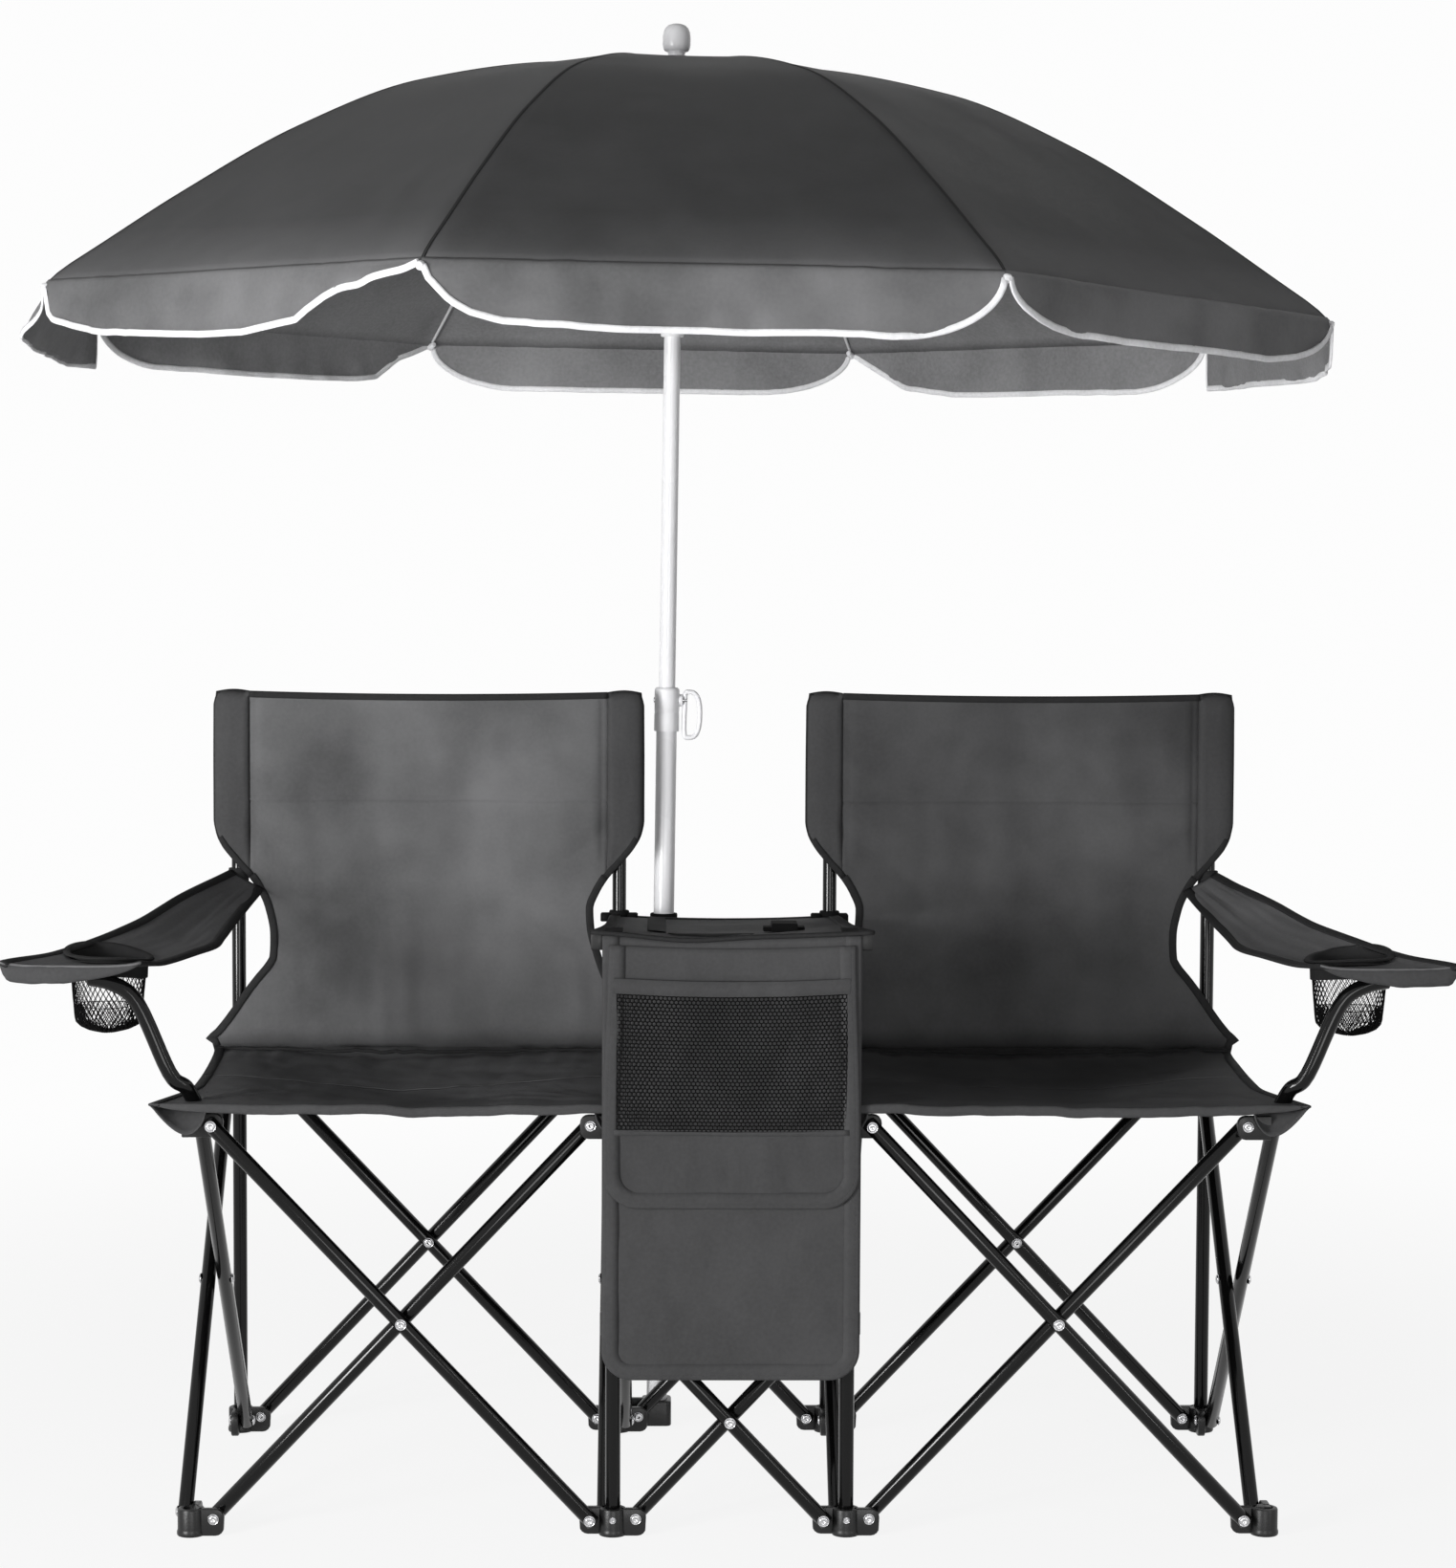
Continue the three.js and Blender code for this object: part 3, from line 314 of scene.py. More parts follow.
def materials():
    # The right seat is the same cloth as the left with a darker value, painted shade; on both seats cloud
    # paints mottled highlights and fold shade, and crease a painted shadow at the fold
    MAT["left"] = fabric("left_seat_fabric", 0.115, cloud=2.3, slubs=0.1, crease=0.415)
    MAT["right"] = fabric("right_seat_fabric", 0.08, cloud=2.3, slubs=0.1, crease=0.415)
    MAT["hem"] = fabric("hem_fabric", 0.064, rough=0.6)
    MAT["binding"] = fabric("binding_tape", 0.027, pitch=0.0014, rumple=0.3, rough=0.7, seam=0.0085)
    MAT["cooler"] = fabric("cooler_fabric", 0.062, rumple=1.1, rough=0.56)
    MAT["cooler_binding"] = fabric("cooler_binding_tape", 0.06, pitch=0.0014, rumple=0.3, seam=0.012)
    MAT["arm"] = fabric("arm_fabric", 0.135)
    # Canopy, valance and inner face are one cloth: rim paints the canopy's edge lighter, the valance's
    # doubled value and strong cloud paint a sheen on it, and the inner face's much higher value paints the
    # light under the canopy
    MAT["canopy"] = fabric("canopy_fabric", 0.07, pitch=0.0008, rumple=0.6, rough=0.5, cloud=1.6,
                           rim=(0.66, 0.742, 1.9), slubs=0.1)
    MAT["valance"] = fabric("valance_fabric", 0.14, pitch=0.0008, rumple=1.6, rough=0.45, cloud=2.6,
                            spec=0.08, slubs=0.1)
    MAT["lining"] = fabric("canopy_lining", 0.235, pitch=0.0008, rumple=0.8, rough=0.6, cloud=1.6)
    MAT["canopy_seam"] = fabric("canopy_seam_tape", 0.03, pitch=0.0008, rumple=0.3)
    MAT["trim"] = fabric("white_binding_tape", 0.82, pitch=0.0014, rumple=0.2, rough=0.7, seam=0.0066)
    MAT["net"] = fabric("net_thread", 0.005, pitch=0.0014, rumple=0.1, rough=0.7, spec=0.05)
    MAT["webbing"] = fabric("black_webbing", 0.012, pitch=0.002, rumple=0.1, rough=0.7)
    MAT["tube"] = paint("black_gloss_tube", 0.003, 0.12, bump=0.0, spec=0.22)
    MAT["plastic"] = paint("black_plastic", 0.01, 0.38, bump=0.05, spec=0.3)
    MAT["plug"] = paint("black_plug", 0.01, 0.5, bump=0.05, spec=0.3)
    MAT["nickel"] = paint("nickel_rivet", 0.5, 0.24, bump=0.01, metal=1.0)
    MAT["pole"] = paint("white_pole_paint", 0.8, 0.26, bump=0.01)
    MAT["white"] = paint("white_plastic", 0.83, 0.34, bump=0.03)
    MAT["rib"] = paint("white_rib_paint", 0.7, 0.3, bump=0.02)


# ---------------------------------------------------------------- mesh helpers
def finish_piece(name, shape, mats, body, angle=None, replaces=(), slot=None, thick=None):
    """Make an object of a shape, on its body. thick gives a cloth surface its real thickness, and the
    second of two materials then goes on its other face."""
    mesh = shape.mesh(name) if isinstance(shape, Build) else shape
    for m in mats:
        mesh.materials.append(MAT[m])
    obj = bpy.data.objects.new(name, mesh)
    bpy.context.scene.collection.objects.link(obj)
    mesh.shade_smooth()
    if angle is not None:
        mesh.set_sharp_from_angle(angle=math.radians(angle))
    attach(obj, body)
    if replaces:
        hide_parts(*replaces)
    if thick:
        cloth = obj.modifiers.new("thickness", "SOLIDIFY")
        cloth.thickness = thick / 1000
        cloth.offset = 0
        cloth.material_offset = len(mats) - 1
    return obj


def squash_all(made):
    """Give each piece its own copy of its mesh."""
    for obj in made:
        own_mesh(obj)


def centre_of(ring):
    return tuple(np.mean(np.array(ring), 0))


def turns(sides):
    """The cosine and sine of equal steps round a circle."""
    angles = [2 * math.pi * i / sides for i in range(sides)]
    return [(math.cos(a), math.sin(a)) for a in angles]


def circle(x, y, r, z, sides):
    """A level ring of points. r is one radius, or a list with one for each step."""
    radii = r if isinstance(r, list) else [r] * sides
    return [(x + rr * c, y + rr * s, z) for rr, (c, s) in zip(radii, turns(sides))]


def soft_box(x, y, rx, ry, z, power, sides):
    """A level ring between a circle, at power 2, and a square with soft corners."""
    ring = []
    for c, s in turns(sides):
        k = (abs(c) ** power + abs(s) ** power) ** (-1 / power)
        ring.append((x + rx * c * k, y + ry * s * k, z))
    return ring


class Build:
    """Collects quads and fans with their material and flat position, in millimetres."""

    def __init__(self):
        self.v, self.f, self.m, self.uv = [], [], [], []

    def point(self, p):
        self.v.append(pt(*p))
        return len(self.v) - 1

    def face(self, ids, mat=0, uv=None):
        self.f.append(ids)
        self.m.append(mat)
        self.uv.append(uv or [(0, 0)] * len(ids))

    def rings(self, rings, mat=0, closed=True, uvs=None):
        """Quads between rows of points. uvs gives each row's flat positions in millimetres."""
        ids = [[self.point(p) for p in ring] for ring in rings]
        n = len(rings[0])
        for j in range(len(ids) - 1):
            for i in range(n if closed else n - 1):
                k = (i + 1) % n
                m = mat(j) if callable(mat) else mat
                uv = None
                if uvs is not None:
                    uv = [uvs[j][i], uvs[j][i + 1], uvs[j + 1][i + 1], uvs[j + 1][i]]
                    uv = [(a / 1000, b / 1000) for a, b in uv]
                self.face([ids[j][i], ids[j][k], ids[j + 1][k], ids[j + 1][i]], m, uv)
        return ids

    def surface(self, rows, uvs):
        """An open cloth surface."""
        self.rings(rows, closed=False, uvs=uvs)

    def fan(self, ids, centre, mat=0, flip=False):
        c = self.point(centre)
        for i in range(len(ids)):
            a, b = ids[i], ids[(i + 1) % len(ids)]
            self.face([b, a, c] if flip else [a, b, c], mat)

    def solid(self, rings, mat=0, uvs=None, ends=None, cap=None):
        """Rings with a fan over the first and the last one."""
        ids = self.rings(rings, mat, uvs=uvs)
        ends = ends or (centre_of(rings[0]), centre_of(rings[-1]))
        cap = mat if cap is None else cap
        self.fan(ids[0], ends[0], cap, flip=True)
        self.fan(ids[-1], ends[1], cap)

    def band(self, x, y, profile, sides, step, rise):
        """A loop of webbing round a pole."""
        rings = [circle(x, y, r, z, sides) for r, z in profile]
        self.rings(rings, uvs=[[(i * step, k * rise) for i in range(sides + 1)] for k in range(len(rings))])

    def block(self, x0, x1, y0, y1, levels, crown=0.0):
        """An upright block. levels gives each height with how far its outline is drawn in."""
        rings = [[(x0 + g, y0 + g, z), (x1 - g, y0 + g, z), (x1 - g, y1 - g, z), (x0 + g, y1 - g, z)]
                 for z, g in levels]
        x, y = (x0 + x1) / 2, (y0 + y1) / 2
        self.solid(rings, ends=((x, y, levels[0][0]), (x, y, levels[-1][0] + crown)))

    def mesh(self, name):
        me = bpy.data.meshes.new(name)
        me.from_pydata(self.v, [], self.f)
        me.polygons.foreach_set("material_index", self.m)
        layer = me.uv_layers.new(name="UVMap")
        layer.data.foreach_set("uv", [c for face in self.uv for corner in face for c in corner])
        me.validate()
        me.update()
        return me


def frames(points):
    """Two directions across each point of a route, carried along without twist."""
    pts = [Vector(p) for p in points]
    tangents = []
    for i in range(len(pts)):
        a, b = pts[max(0, i - 1)], pts[min(len(pts) - 1, i + 1)]
        tangents.append((b - a).normalized())
    side = tangents[0].orthogonal().normalized()
    out = []
    for t in tangents:
        side = (side - t * side.dot(t)).normalized()
        out.append((side.copy(), t.cross(side), t))
    return pts, out


def add_tube(b, points, radius, sides=28, mat=0, cap=2.5, cap_mat=None):
    """A round bar along a route, with domed ends."""
    pts, across = frames(points)
    steps = 4
    last = len(pts) - 1

    def ring(centre, r, k):
        s, n, _ = across[k]
        return [tuple(centre + (s * ct + n * st) * r) for ct, st in turns(sides)]

    def end_ring(k, way, step):
        a = math.pi / 2 * step / steps
        r = max(0.02, radius * (0.35 + 0.65 * math.sin(a)))
        return ring(pts[k] + across[k][2] * (way * (cap * math.cos(a) - cap)), r, k)

    rings = [end_ring(0, -1, i) for i in range(steps)]
    for k in range(last + 1):
        shift = cap if k == 0 else (-cap if k == last else 0.0)
        rings.append(ring(pts[k] + across[k][2] * shift, radius, k))
    rings += [end_ring(last, 1, steps - 1 - i) for i in range(steps)]
    cap_mat = mat if cap_mat is None else cap_mat
    b.solid(rings, lambda j: cap_mat if (j < steps or j >= len(rings) - 1 - steps) else mat,
            ends=(tuple(pts[0]), tuple(pts[-1])), cap=cap_mat)


def add_lathe(b, centre, axis, profile, sides=24, mat=0):
    """A revolved profile of (radius, height along axis), closed at both ends."""
    axis = Vector(axis).normalized()
    s = axis.orthogonal().normalized()
    n = axis.cross(s)
    c = Vector(centre)
    rings = [[tuple(c + axis * h + (s * ct + n * st) * max(r, 0.01)) for ct, st in turns(sides)]
             for r, h in profile]
    b.solid(rings, mat, ends=[tuple(c + axis * profile[k][1]) for k in (0, -1)])


def add_rivet(b, place, axis, mat, r=4.7, h=2.2):
    """A domed rivet head on a thin washer."""
    washer = [(r * 1.24, -0.2), (r * 1.26, 0.5), (r * 1.16, 0.9), (r * 1.02, 0.6)]
    head = [(r * 0.98, h * 0.6), (r * 0.8, h * 0.95), (r * 0.5, h), (r * 0.36, h * 0.8),
            (r * 0.12, h * 0.4)]
    add_lathe(b, place, axis, washer + head, 20, mat)


# ---------------------------------------------------------------- folding frame
def stretch(a, b, by=7.0):
    """The two ends of a tube, which goes on past its rivets."""
    a, b = Vector(a), Vector(b)
    d = (b - a).normalized()
    return [a - d * by, b + d * by]


def scissor_ends(kind, row, bay):
    """Foot and head of a row tube, with the side its plane lies on."""
    left, right = (COLUMNS[c] for c in BAYS[bay])
    top = MID_Z if bay == "middle" else UP_Z
    y = ROWS[row]
    if kind == "falling":
        return (right - PIN, y - PLANE, PIN_Z), (left + PIN, y - PLANE, top), -1
    return (left + PIN, y + PLANE, PIN_Z), (right - PIN, y + PLANE, top), 1


def side_ends(kind, column):
    x = COLUMNS[column]
    if kind == "forward":
        return (x + PLANE, ROW - PIN, PIN_Z), (x + PLANE, PIN, UP_Z), 1
    return (x - PLANE, PIN, PIN_Z), (x - PLANE, ROW - PIN, UP_Z), -1


def catmull(points, per=10):
    """A smooth centripetal curve through the points."""
    P = [Vector(p) for p in points]
    P = [P[0] * 2 - P[1]] + P + [P[-1] * 2 - P[-2]]
    out = []
    for i in range(1, len(P) - 2):
        p0, p1, p2, p3 = P[i - 1:i + 3]
        t0 = 0.0
        t1 = t0 + max((p1 - p0).length, 1e-6) ** 0.5
        t2 = t1 + max((p2 - p1).length, 1e-6) ** 0.5
        t3 = t2 + max((p3 - p2).length, 1e-6) ** 0.5
        for k in range(per):
            t = t1 + (t2 - t1) * k / per
            a1 = p0 * ((t1 - t) / (t1 - t0)) + p1 * ((t - t0) / (t1 - t0))
            a2 = p1 * ((t2 - t) / (t2 - t1)) + p2 * ((t - t1) / (t2 - t1))
            a3 = p2 * ((t3 - t) / (t3 - t2)) + p3 * ((t - t2) / (t3 - t2))
            b1 = a1 * ((t2 - t) / (t2 - t0)) + a2 * ((t - t0) / (t2 - t0))
            b2 = a2 * ((t3 - t) / (t3 - t1)) + a3 * ((t - t1) / (t3 - t1))
            out.append(b1 * ((t2 - t) / (t2 - t1)) + b2 * ((t - t1) / (t2 - t1)))
    out.append(P[-2])
    return out


def arm_route(side, x):
    """The bent arm support's centre line past the front upper pin."""
    past_y, past_z = (7 * run / 570.14 for run in (392, 414))
    steps = [(0, 0, 0), (0, -past_y, past_z), (side * 12, -24, 38.4), (side * 24, -30, 48),
             (side * 66, -30, 134), (side * 89, -30, 148), (side * 112, -30, 153)]
    return [Vector((x + a, PIN + b, UP_Z + c)) for a, b, c in steps]


def frame_piece(name, b, mats, angle=40, slot="frame_tube"):
    finish_piece(name + "_visual", b, mats, BODY[name], angle=angle, replaces=[name], slot=slot)


def tube_piece(name, foot, head, way, route=None, spacer=False):
    """One frame tube with plugs and rivets. way points away from the tube that it crosses."""
    b = Build()
    add_tube(b, route or stretch(foot, head), TUBE, cap_mat=1)
    foot, head, way = Vector(foot), Vector(head), Vector(way)
    for end in (foot, head):
        add_rivet(b, end + way * TUBE, way, 2)
        add_rivet(b, end - way * (PLANE + 8.9), -way, 2, r=4.6)
    middle = (foot + head) / 2
    add_rivet(b, middle + way * TUBE, way, 2)
    if spacer:
        add_lathe(b, middle - way * (PLANE - 1.2), -way, [(4.4, 0), (4.6, 0.3), (4.6, 2.1), (4.4, 2.4)],
                  20, 2)
    frame_piece(name, b, ["tube", "plug", "nickel"])


def frame_tubes():
    for row in ROWS:
        for bay in BAYS:
            for kind in ("falling", "rising"):
                foot, head, side = scissor_ends(kind, row, bay)
                tube_piece(f"{row}_{bay}_{kind}_tube", foot, head, (0, side, 0), spacer=kind == "falling")
    for column, x in COLUMNS.items():
        for kind in ("forward", "backward"):
            foot, head, side = side_ends(kind, column)
            route = None
            if column.startswith("outer") and kind == "forward":
                arm = catmull(arm_route(-1 if x < 0 else 1, x + PLANE), 8)
                route = [stretch(foot, head)[0], lerp(Vector(foot), Vector(head), 0.97)] + arm
            tube_piece(f"{column}_side_{kind}_tube", foot, head, (side, 0, 0), route)


def uprights():
    inside_foot, pole_top = 4.4, 861.5
    posts = [(f"{column}_back_pole", x, ROW, pole_top) for column, x in COLUMNS.items()]
    for column in ("inner_left", "inner_right"):
        name = f"{column}_table_leg"
        posts.append((name, COLUMNS[column], 0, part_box(name)[1].z * 1000))
    for name, x, y, top in posts:
        b = Build()
        add_tube(b, [(x, y, inside_foot), (x, y, top)], TUBE, cap_mat=1)
        frame_piece(name, b, ["tube", "plug"])


# A cheek's thickness, its end past the pin, and the radius of the core round a pole
LOBE_THICK, LOBE_END, CORE = 8.6, 11.0, 14.0


def add_lobe(b, place, quarter, side, low, high, pin):
    """One rounded cheek of a foot or bracket, seen from the side as a soft-cornered plate."""
    face, half = PLANE - TUBE - 0.3, LOBE_THICK / 2
    reach = PIN + LOBE_END
    outline = [(0.0, low)]
    for k in range(9):
        ang = math.pi * (k / 8 - 0.5)
        r = min(9.0, pin - low if ang < 0 else high - pin)
        zc = low + r if ang < 0 else high - r
        outline.append((reach - r + r * math.cos(ang), zc + r * math.sin(ang)))
    outline.append((0.0, high))
    c, s = math.cos(quarter * math.pi / 2), math.sin(quarter * math.pi / 2)
    rings = []
    cx, cz = reach / 2, (low + high) / 2
    for off, inset in ((-half, 1.3), (-half + 0.4, 0.4), (-half + 1.3, 0), (half - 1.3, 0),
                       (half - 0.4, 0.4),
                       (half, 1.3)):
        ring = []
        for x, z in outline:
            in_x = math.copysign(min(inset, abs(x - cx)), x - cx) if x > 1 else 0.0
            in_z = math.copysign(min(inset, abs(z - cz)), z - cz)
            y = side * (face - half + off)
            ring.append((place[0] + (x - in_x) * c - y * s, place[1] + (x - in_x) * s + y * c,
                         place[2] + z - in_z))
        rings.append(ring)
    if side < 0:
        rings.reverse()
    b.solid(rings)


def moulding(name, x, y, z, quarters, side, low, high, pin, foot=False, core=True, nail=False):
    """A foot, bracket or slider: its lobes, a round core for a pole, and a nail that holds the pole."""
    b = Build()
    for q in quarters:
        add_lobe(b, (x, y, z), q, side, low, high, pin)
    r = CORE
    if core and foot:
        flange = [(r + 0.2, low), (r + 0.8, low + 1.2), (r + 0.8, low + 4), (r + 0.2, low + 5.5),
                  (r, low + 7)]
        mouth = [(r, high - 2), (r - 0.6, high - 0.6), (r - 2, high), (9.4, high), (8.7, high - 0.6),
                 (8.4, high - 3)]
        add_lathe(b, (x, y, z), (0, 0, 1), flange + mouth, 40)
    elif core:
        outside = [(8.4, low), (8.8, low), (r - 1.6, low), (r - 0.4, low + 0.5), (r, low + 1.8),
                   (r, high - 1.8)]
        mouth = [(r - 0.5, high - 0.5), (r - 1.8, high), (9.0, high), (8.4, high - 0.6), (8.4, low)]
        b.rings([circle(x, y, rr, z + h, 40) for rr, h in outside + mouth])
    if nail:
        front = -1 if y < ROW / 2 else 1
        add_rivet(b, (x, y + front * (r - 0.2), z + pin), (0, front, 0), 1, r=2.9, h=1.4)
    frame_piece(name, b, ["plastic", "nickel"], 38, "frame_plastic")


FOOT_TALL = 28.5


def mouldings():
    for row, y in ROWS.items():
        inward = 1 if row == "front" else 3
        for k, (column, x) in enumerate(COLUMNS.items()):
            pole = row == "rear" or k in (1, 2)
            lobes = [inward] + ([0] if k < 3 else []) + ([2] if k > 0 else [])
            moulding(f"{row}_{column}_foot", x, y, 0, lobes, 1, 0, FOOT_TALL, PIN_Z, foot=True, nail=pole)
            across = 0 if k in (0, 2) else 2
            moulding(f"{row}_{column}_bracket", x, y, UP_Z, [inward, across], -1, -14, 11, 0, core=pole)
            if k in (1, 2):
                moulding(f"{row}_{column}_slider", x, y, MID_Z, [0 if k == 1 else 2], -1, -14, 11, 0)


# ---------------------------------------------------------------- cloth helpers


def ribbon(name, P, inward, normal, mat, body, node, width, off=1.5, wrap=1.0):
    """Tape folded over an edge: both faces and the fold, along the edge points."""
    P, I, N = (np.array(a, float) for a in (P, inward, normal))
    I = I / np.linalg.norm(I, axis=1)[:, None]
    N = N / np.linalg.norm(N, axis=1)[:, None]
    face = [(width, 0.5), (width, off), (width * 0.6, off * 1.05), (1.2, off * 1.1),
            (-wrap * 0.7, off * 0.6)]
    section = face + [(-wrap, 0)] + [(d, -h) for d, h in reversed(face)]
    length = np.concatenate([[0], np.cumsum(np.linalg.norm(np.diff(P, axis=0), axis=1))])
    b = Build()
    b.surface([[tuple(P[k] + I[k] * d + N[k] * h) for d, h in section] for k in range(len(P))],
              [[(along, abs(width - d)) for d, h in section] for along in length])
    obj = finish_piece(name, b, [mat], body, replaces=[node], thick=TAPE)
    return obj


def run_at(P, k):
    """Which way an edge runs at one of its points."""
    return Vector(P[min(k + 1, len(P) - 1)]) - Vector(P[max(k - 1, 0)])


def square_to_run(P, I):
    """The ways in from an edge, made square to the edge's own run."""
    out = []
    for k in range(len(P)):
        t, i = run_at(P, k), Vector(I[k])
        out.append(i - t * (i.dot(t) / max(t.length_squared, 1e-9)))
    return out


def hermite(a, b, slope_a, slope_b, t):
    """A cubic from a to b with the slopes that it leaves and arrives with."""
    return ((2 * t ** 3 - 3 * t * t + 1) * a + (t ** 3 - 2 * t * t + t) * slope_a
            + (3 * t * t - 2 * t ** 3) * b + (t ** 3 - t * t) * slope_b)


# ---------------------------------------------------------------- seats
BACK_TOP, SEAT_Z, BACK_Y, BEND = 864.0, 449.0, 430.5, 3.5
BACK_LEN = BACK_TOP - SEAT_Z
SEAT_LEN = BACK_Y + 20.0
FLAT, WAIST = 206.0, 214.0
EDGE = np.array([(0, 247.5), (90, 248), (148, 248), (162, 245.5), (178, 237), (196, 222.5), (221, 201),
                 (250, 187.5), (281, 182), (306, 183), (316, 188.5), (328, 198.5), (345, 211.5),
                 (369, 228), (385, 240), (395, 249), (401, 257), (407, 249), (430, 245), (520, 239),
                 (640, 234), (702, 233), (765, 239), (830, 250), (865.5, 259)], float)
# The edge next to the table, which turns out again a little higher up
INSIDE = np.array([tuple(p) for p in EDGE if p[0] < 200] + [(214, 206.4), (232, 195.5), (250, 189),
                                                            (270, 190), (296, 196), (320, 204),
                                                            (345, 215.5), (369, 229)]
                  + [tuple(p) for p in EDGE if p[0] > 390], float)


def smooth_through(table, x):
    """A smooth curve through a table of measured points that never overshoots them."""
    xs, ys = table[:, 0], table[:, 1]
    i = int(np.clip(np.searchsorted(xs, x) - 1, 0, len(xs) - 2))
    h = xs[i + 1] - xs[i]

    def slope(k):
        if k <= 0:
            return 0.0
        a = (ys[k] - ys[k - 1]) / (xs[k] - xs[k - 1])
        if k >= len(xs) - 1:
            return a if a > 0 else 0.0
        b = (ys[k + 1] - ys[k]) / (xs[k + 1] - xs[k])
        return 0.0 if a * b <= 0 else 2 * a * b / (a + b)

    return hermite(ys[i], ys[i + 1], slope(i) * h, slope(i + 1) * h, (x - xs[i]) / h)


def half_width(length):
    """Half the sling's width at a length from the top edge."""
    return smooth_through(EDGE, length)


def fbm(x, y, seed, octaves=3):
    total, amp, f = 0.0, 1.0, 1.0
    for _ in range(octaves):
        total += amp * noise.noise(Vector((x * f, y * f, seed)))
        amp *= 0.5
        f *= 2.07
    return total


def ridge(d, width):
    """One soft fold: 1 on its line, falling away over its width."""
    return math.exp(-(d / width) ** 2)


def sling_point(bay, x, length):
    """The cloth's middle surface at x from the bay's centre and a length from the top edge."""
    seed = 3.1 if bay < 0 else 11.7
    hang = (1 - min(1.0, abs(x) / 210) ** 2) ** 2
    quiet = 1 - ridge(max(0.0, length), 14) * 0.6
    if length < BACK_LEN - BEND:
        share = length / BACK_LEN
        y = BACK_Y + 21 * hang * math.sin(math.pi * share ** 1.7)
        z = BACK_TOP - length
        loose = ease(length / 60) * quiet
        y += 12.0 * loose * hang ** 0.4 * fbm(x / 105, z / 330, seed, 2)
        y += 1.0 * loose * fbm(x / 30 + z / 160, z / 120, seed + 4)
        low = ease((length - 235) / 150)
        y += 2.6 * low * fbm(x / 20, z / 130, seed + 7, 2) * (0.35 + 0.65 * hang)
        for s in (-1, 1):
            d = (x * s - 185) * 0.5 + (z - 565) * 0.86
            y += 2.2 * ridge(d, 9) * ease((x * s - 40) / 130) * (1 - ease((abs(z - 565) - 60) / 40))
            d2 = (x * s - 195) * 0.62 - (z - 700) * 0.78
            y += 1.7 * ridge(d2, 8) * ease((x * s - 70) / 110)
        y -= 1.7 * ridge(length - 124, 2.0) * (1 if abs(x) < 215 else 0)
        y += 5.5 * ridge(abs(x) - 203, 6.0) * ease(length / 12) * (1 - ease((length - 165) / 50))
        dip = 3.0 * (1 - (min(abs(x), 206) / 206) ** 2) * max(0.0, 1 - length / 60)
        return Vector((x, y, z - dip))
    if length < BACK_LEN + BEND:
        t = (length - BACK_LEN + BEND) / (2 * BEND)
        pucker = 2.6 * fbm(x / 19, 0.4, seed + 7, 2)
        sag = 16 * hang * t * 0.4
        lean = 21 * hang * math.sin(math.pi * (1 - BEND / BACK_LEN) ** 1.7) * (1 - t)
        y = BACK_Y + lean - BEND * t * t + pucker * (1 - t)
        z = SEAT_Z + BEND * (1 - t) ** 2 - sag + pucker * t * 0.8
        return Vector((x, y, z))
    share = (length - BACK_LEN) / SEAT_LEN
    sag = 16 * hang * (lerp(0.4, 0.15, ease(share))
                       + 0.6 * math.sin(math.pi * min(1.0, share))) - 6 * ease((share - 0.6) / 0.4)
    near = 1 - ease((length - BACK_LEN - BEND) / 120)
    pucker = 2.1 * fbm(x / 19, 0.4, seed + 7, 2) * near
    y = BACK_Y - (length - BACK_LEN)
    z = SEAT_Z - sag + pucker
    inner = ease((222 - abs(x)) / 60)
    z += inner * (2.6 * fbm(x / 90, y / 120, seed + 9) + 1.3 * fbm(x / 34, y / 60, seed + 12, 2))
    for s in (-1, 1):
        for k, (dx, dy) in enumerate(((0.84, 0.54), (0.62, 0.78), (0.4, 0.92))):
            px, py = x * s - 215, y - 14
            d = px * dy + py * dx
            along = -px * dx + py * dy
            z += (1.9 - 0.3 * k) * ridge(d, 7) * ease(along / 40) * (1 - ease((along - 90) / 110))
    return Vector((x, y, z))


def spread(edge, count):
    """Places across a cloth, closer together at its edges."""
    steps = [2 * i / count - 1 for i in range(count + 1)]
    return sorted({(math.sin(math.pi / 2 * t) * 0.25 + t * 0.75) * edge for t in steps})


def cut(low, high, step, points=()):
    """Even stops from low to high, with some points of their own between them."""
    count = max(1, int(round((high - low) / step)))
    out = [low + (high - low) * i / count for i in range(count + 1)]
    return sorted(set(out + [p for p in points if low < p < high]))


def sleeve_rows(bay, s, stops, edge):
    """Front and rear faces of a sleeve: it wraps the pole, and its lower end opens round it."""
    n = 14
    faces = ([], [])
    for L in stops:
        h = edge(s, L) - 3.5 * (1 - ease(L / 16))
        close = 1 - ease((L - 157) / 24)
        pinch = 1 - 0.82 * (1 - ease(L / 9))
        rows = ([], [])
        for i in range(n + 1):
            t = i / n
            x = s * lerp(FLAT, h, t)
            base = sling_point(bay, x, L)
            fold = math.sqrt(max(0.0, 1 - max(0.0, (t - 0.45) / 0.55) ** 2.2)) if close > 0 else 1.0
            d = lerp(1.0, fold, close)
            wave = 0.9 * fbm(x / 14, base.z / 70, 5 + bay) * ease(L / 20)
            y = ROW - 9.7 * d * pinch - (0.8 * wave * d)
            z = base.z + 2.2 * ridge(L, 10) * math.sin(math.pi * t)
            rows[0].append((x, lerp(y, base.y, 1 - ease(t / 0.18)), z))
            rows[1].append((x, ROW + 9.9 * d * pinch + wave * 0.5, z))
        for face, row in zip(faces, rows):
            face.append(row)
    return faces


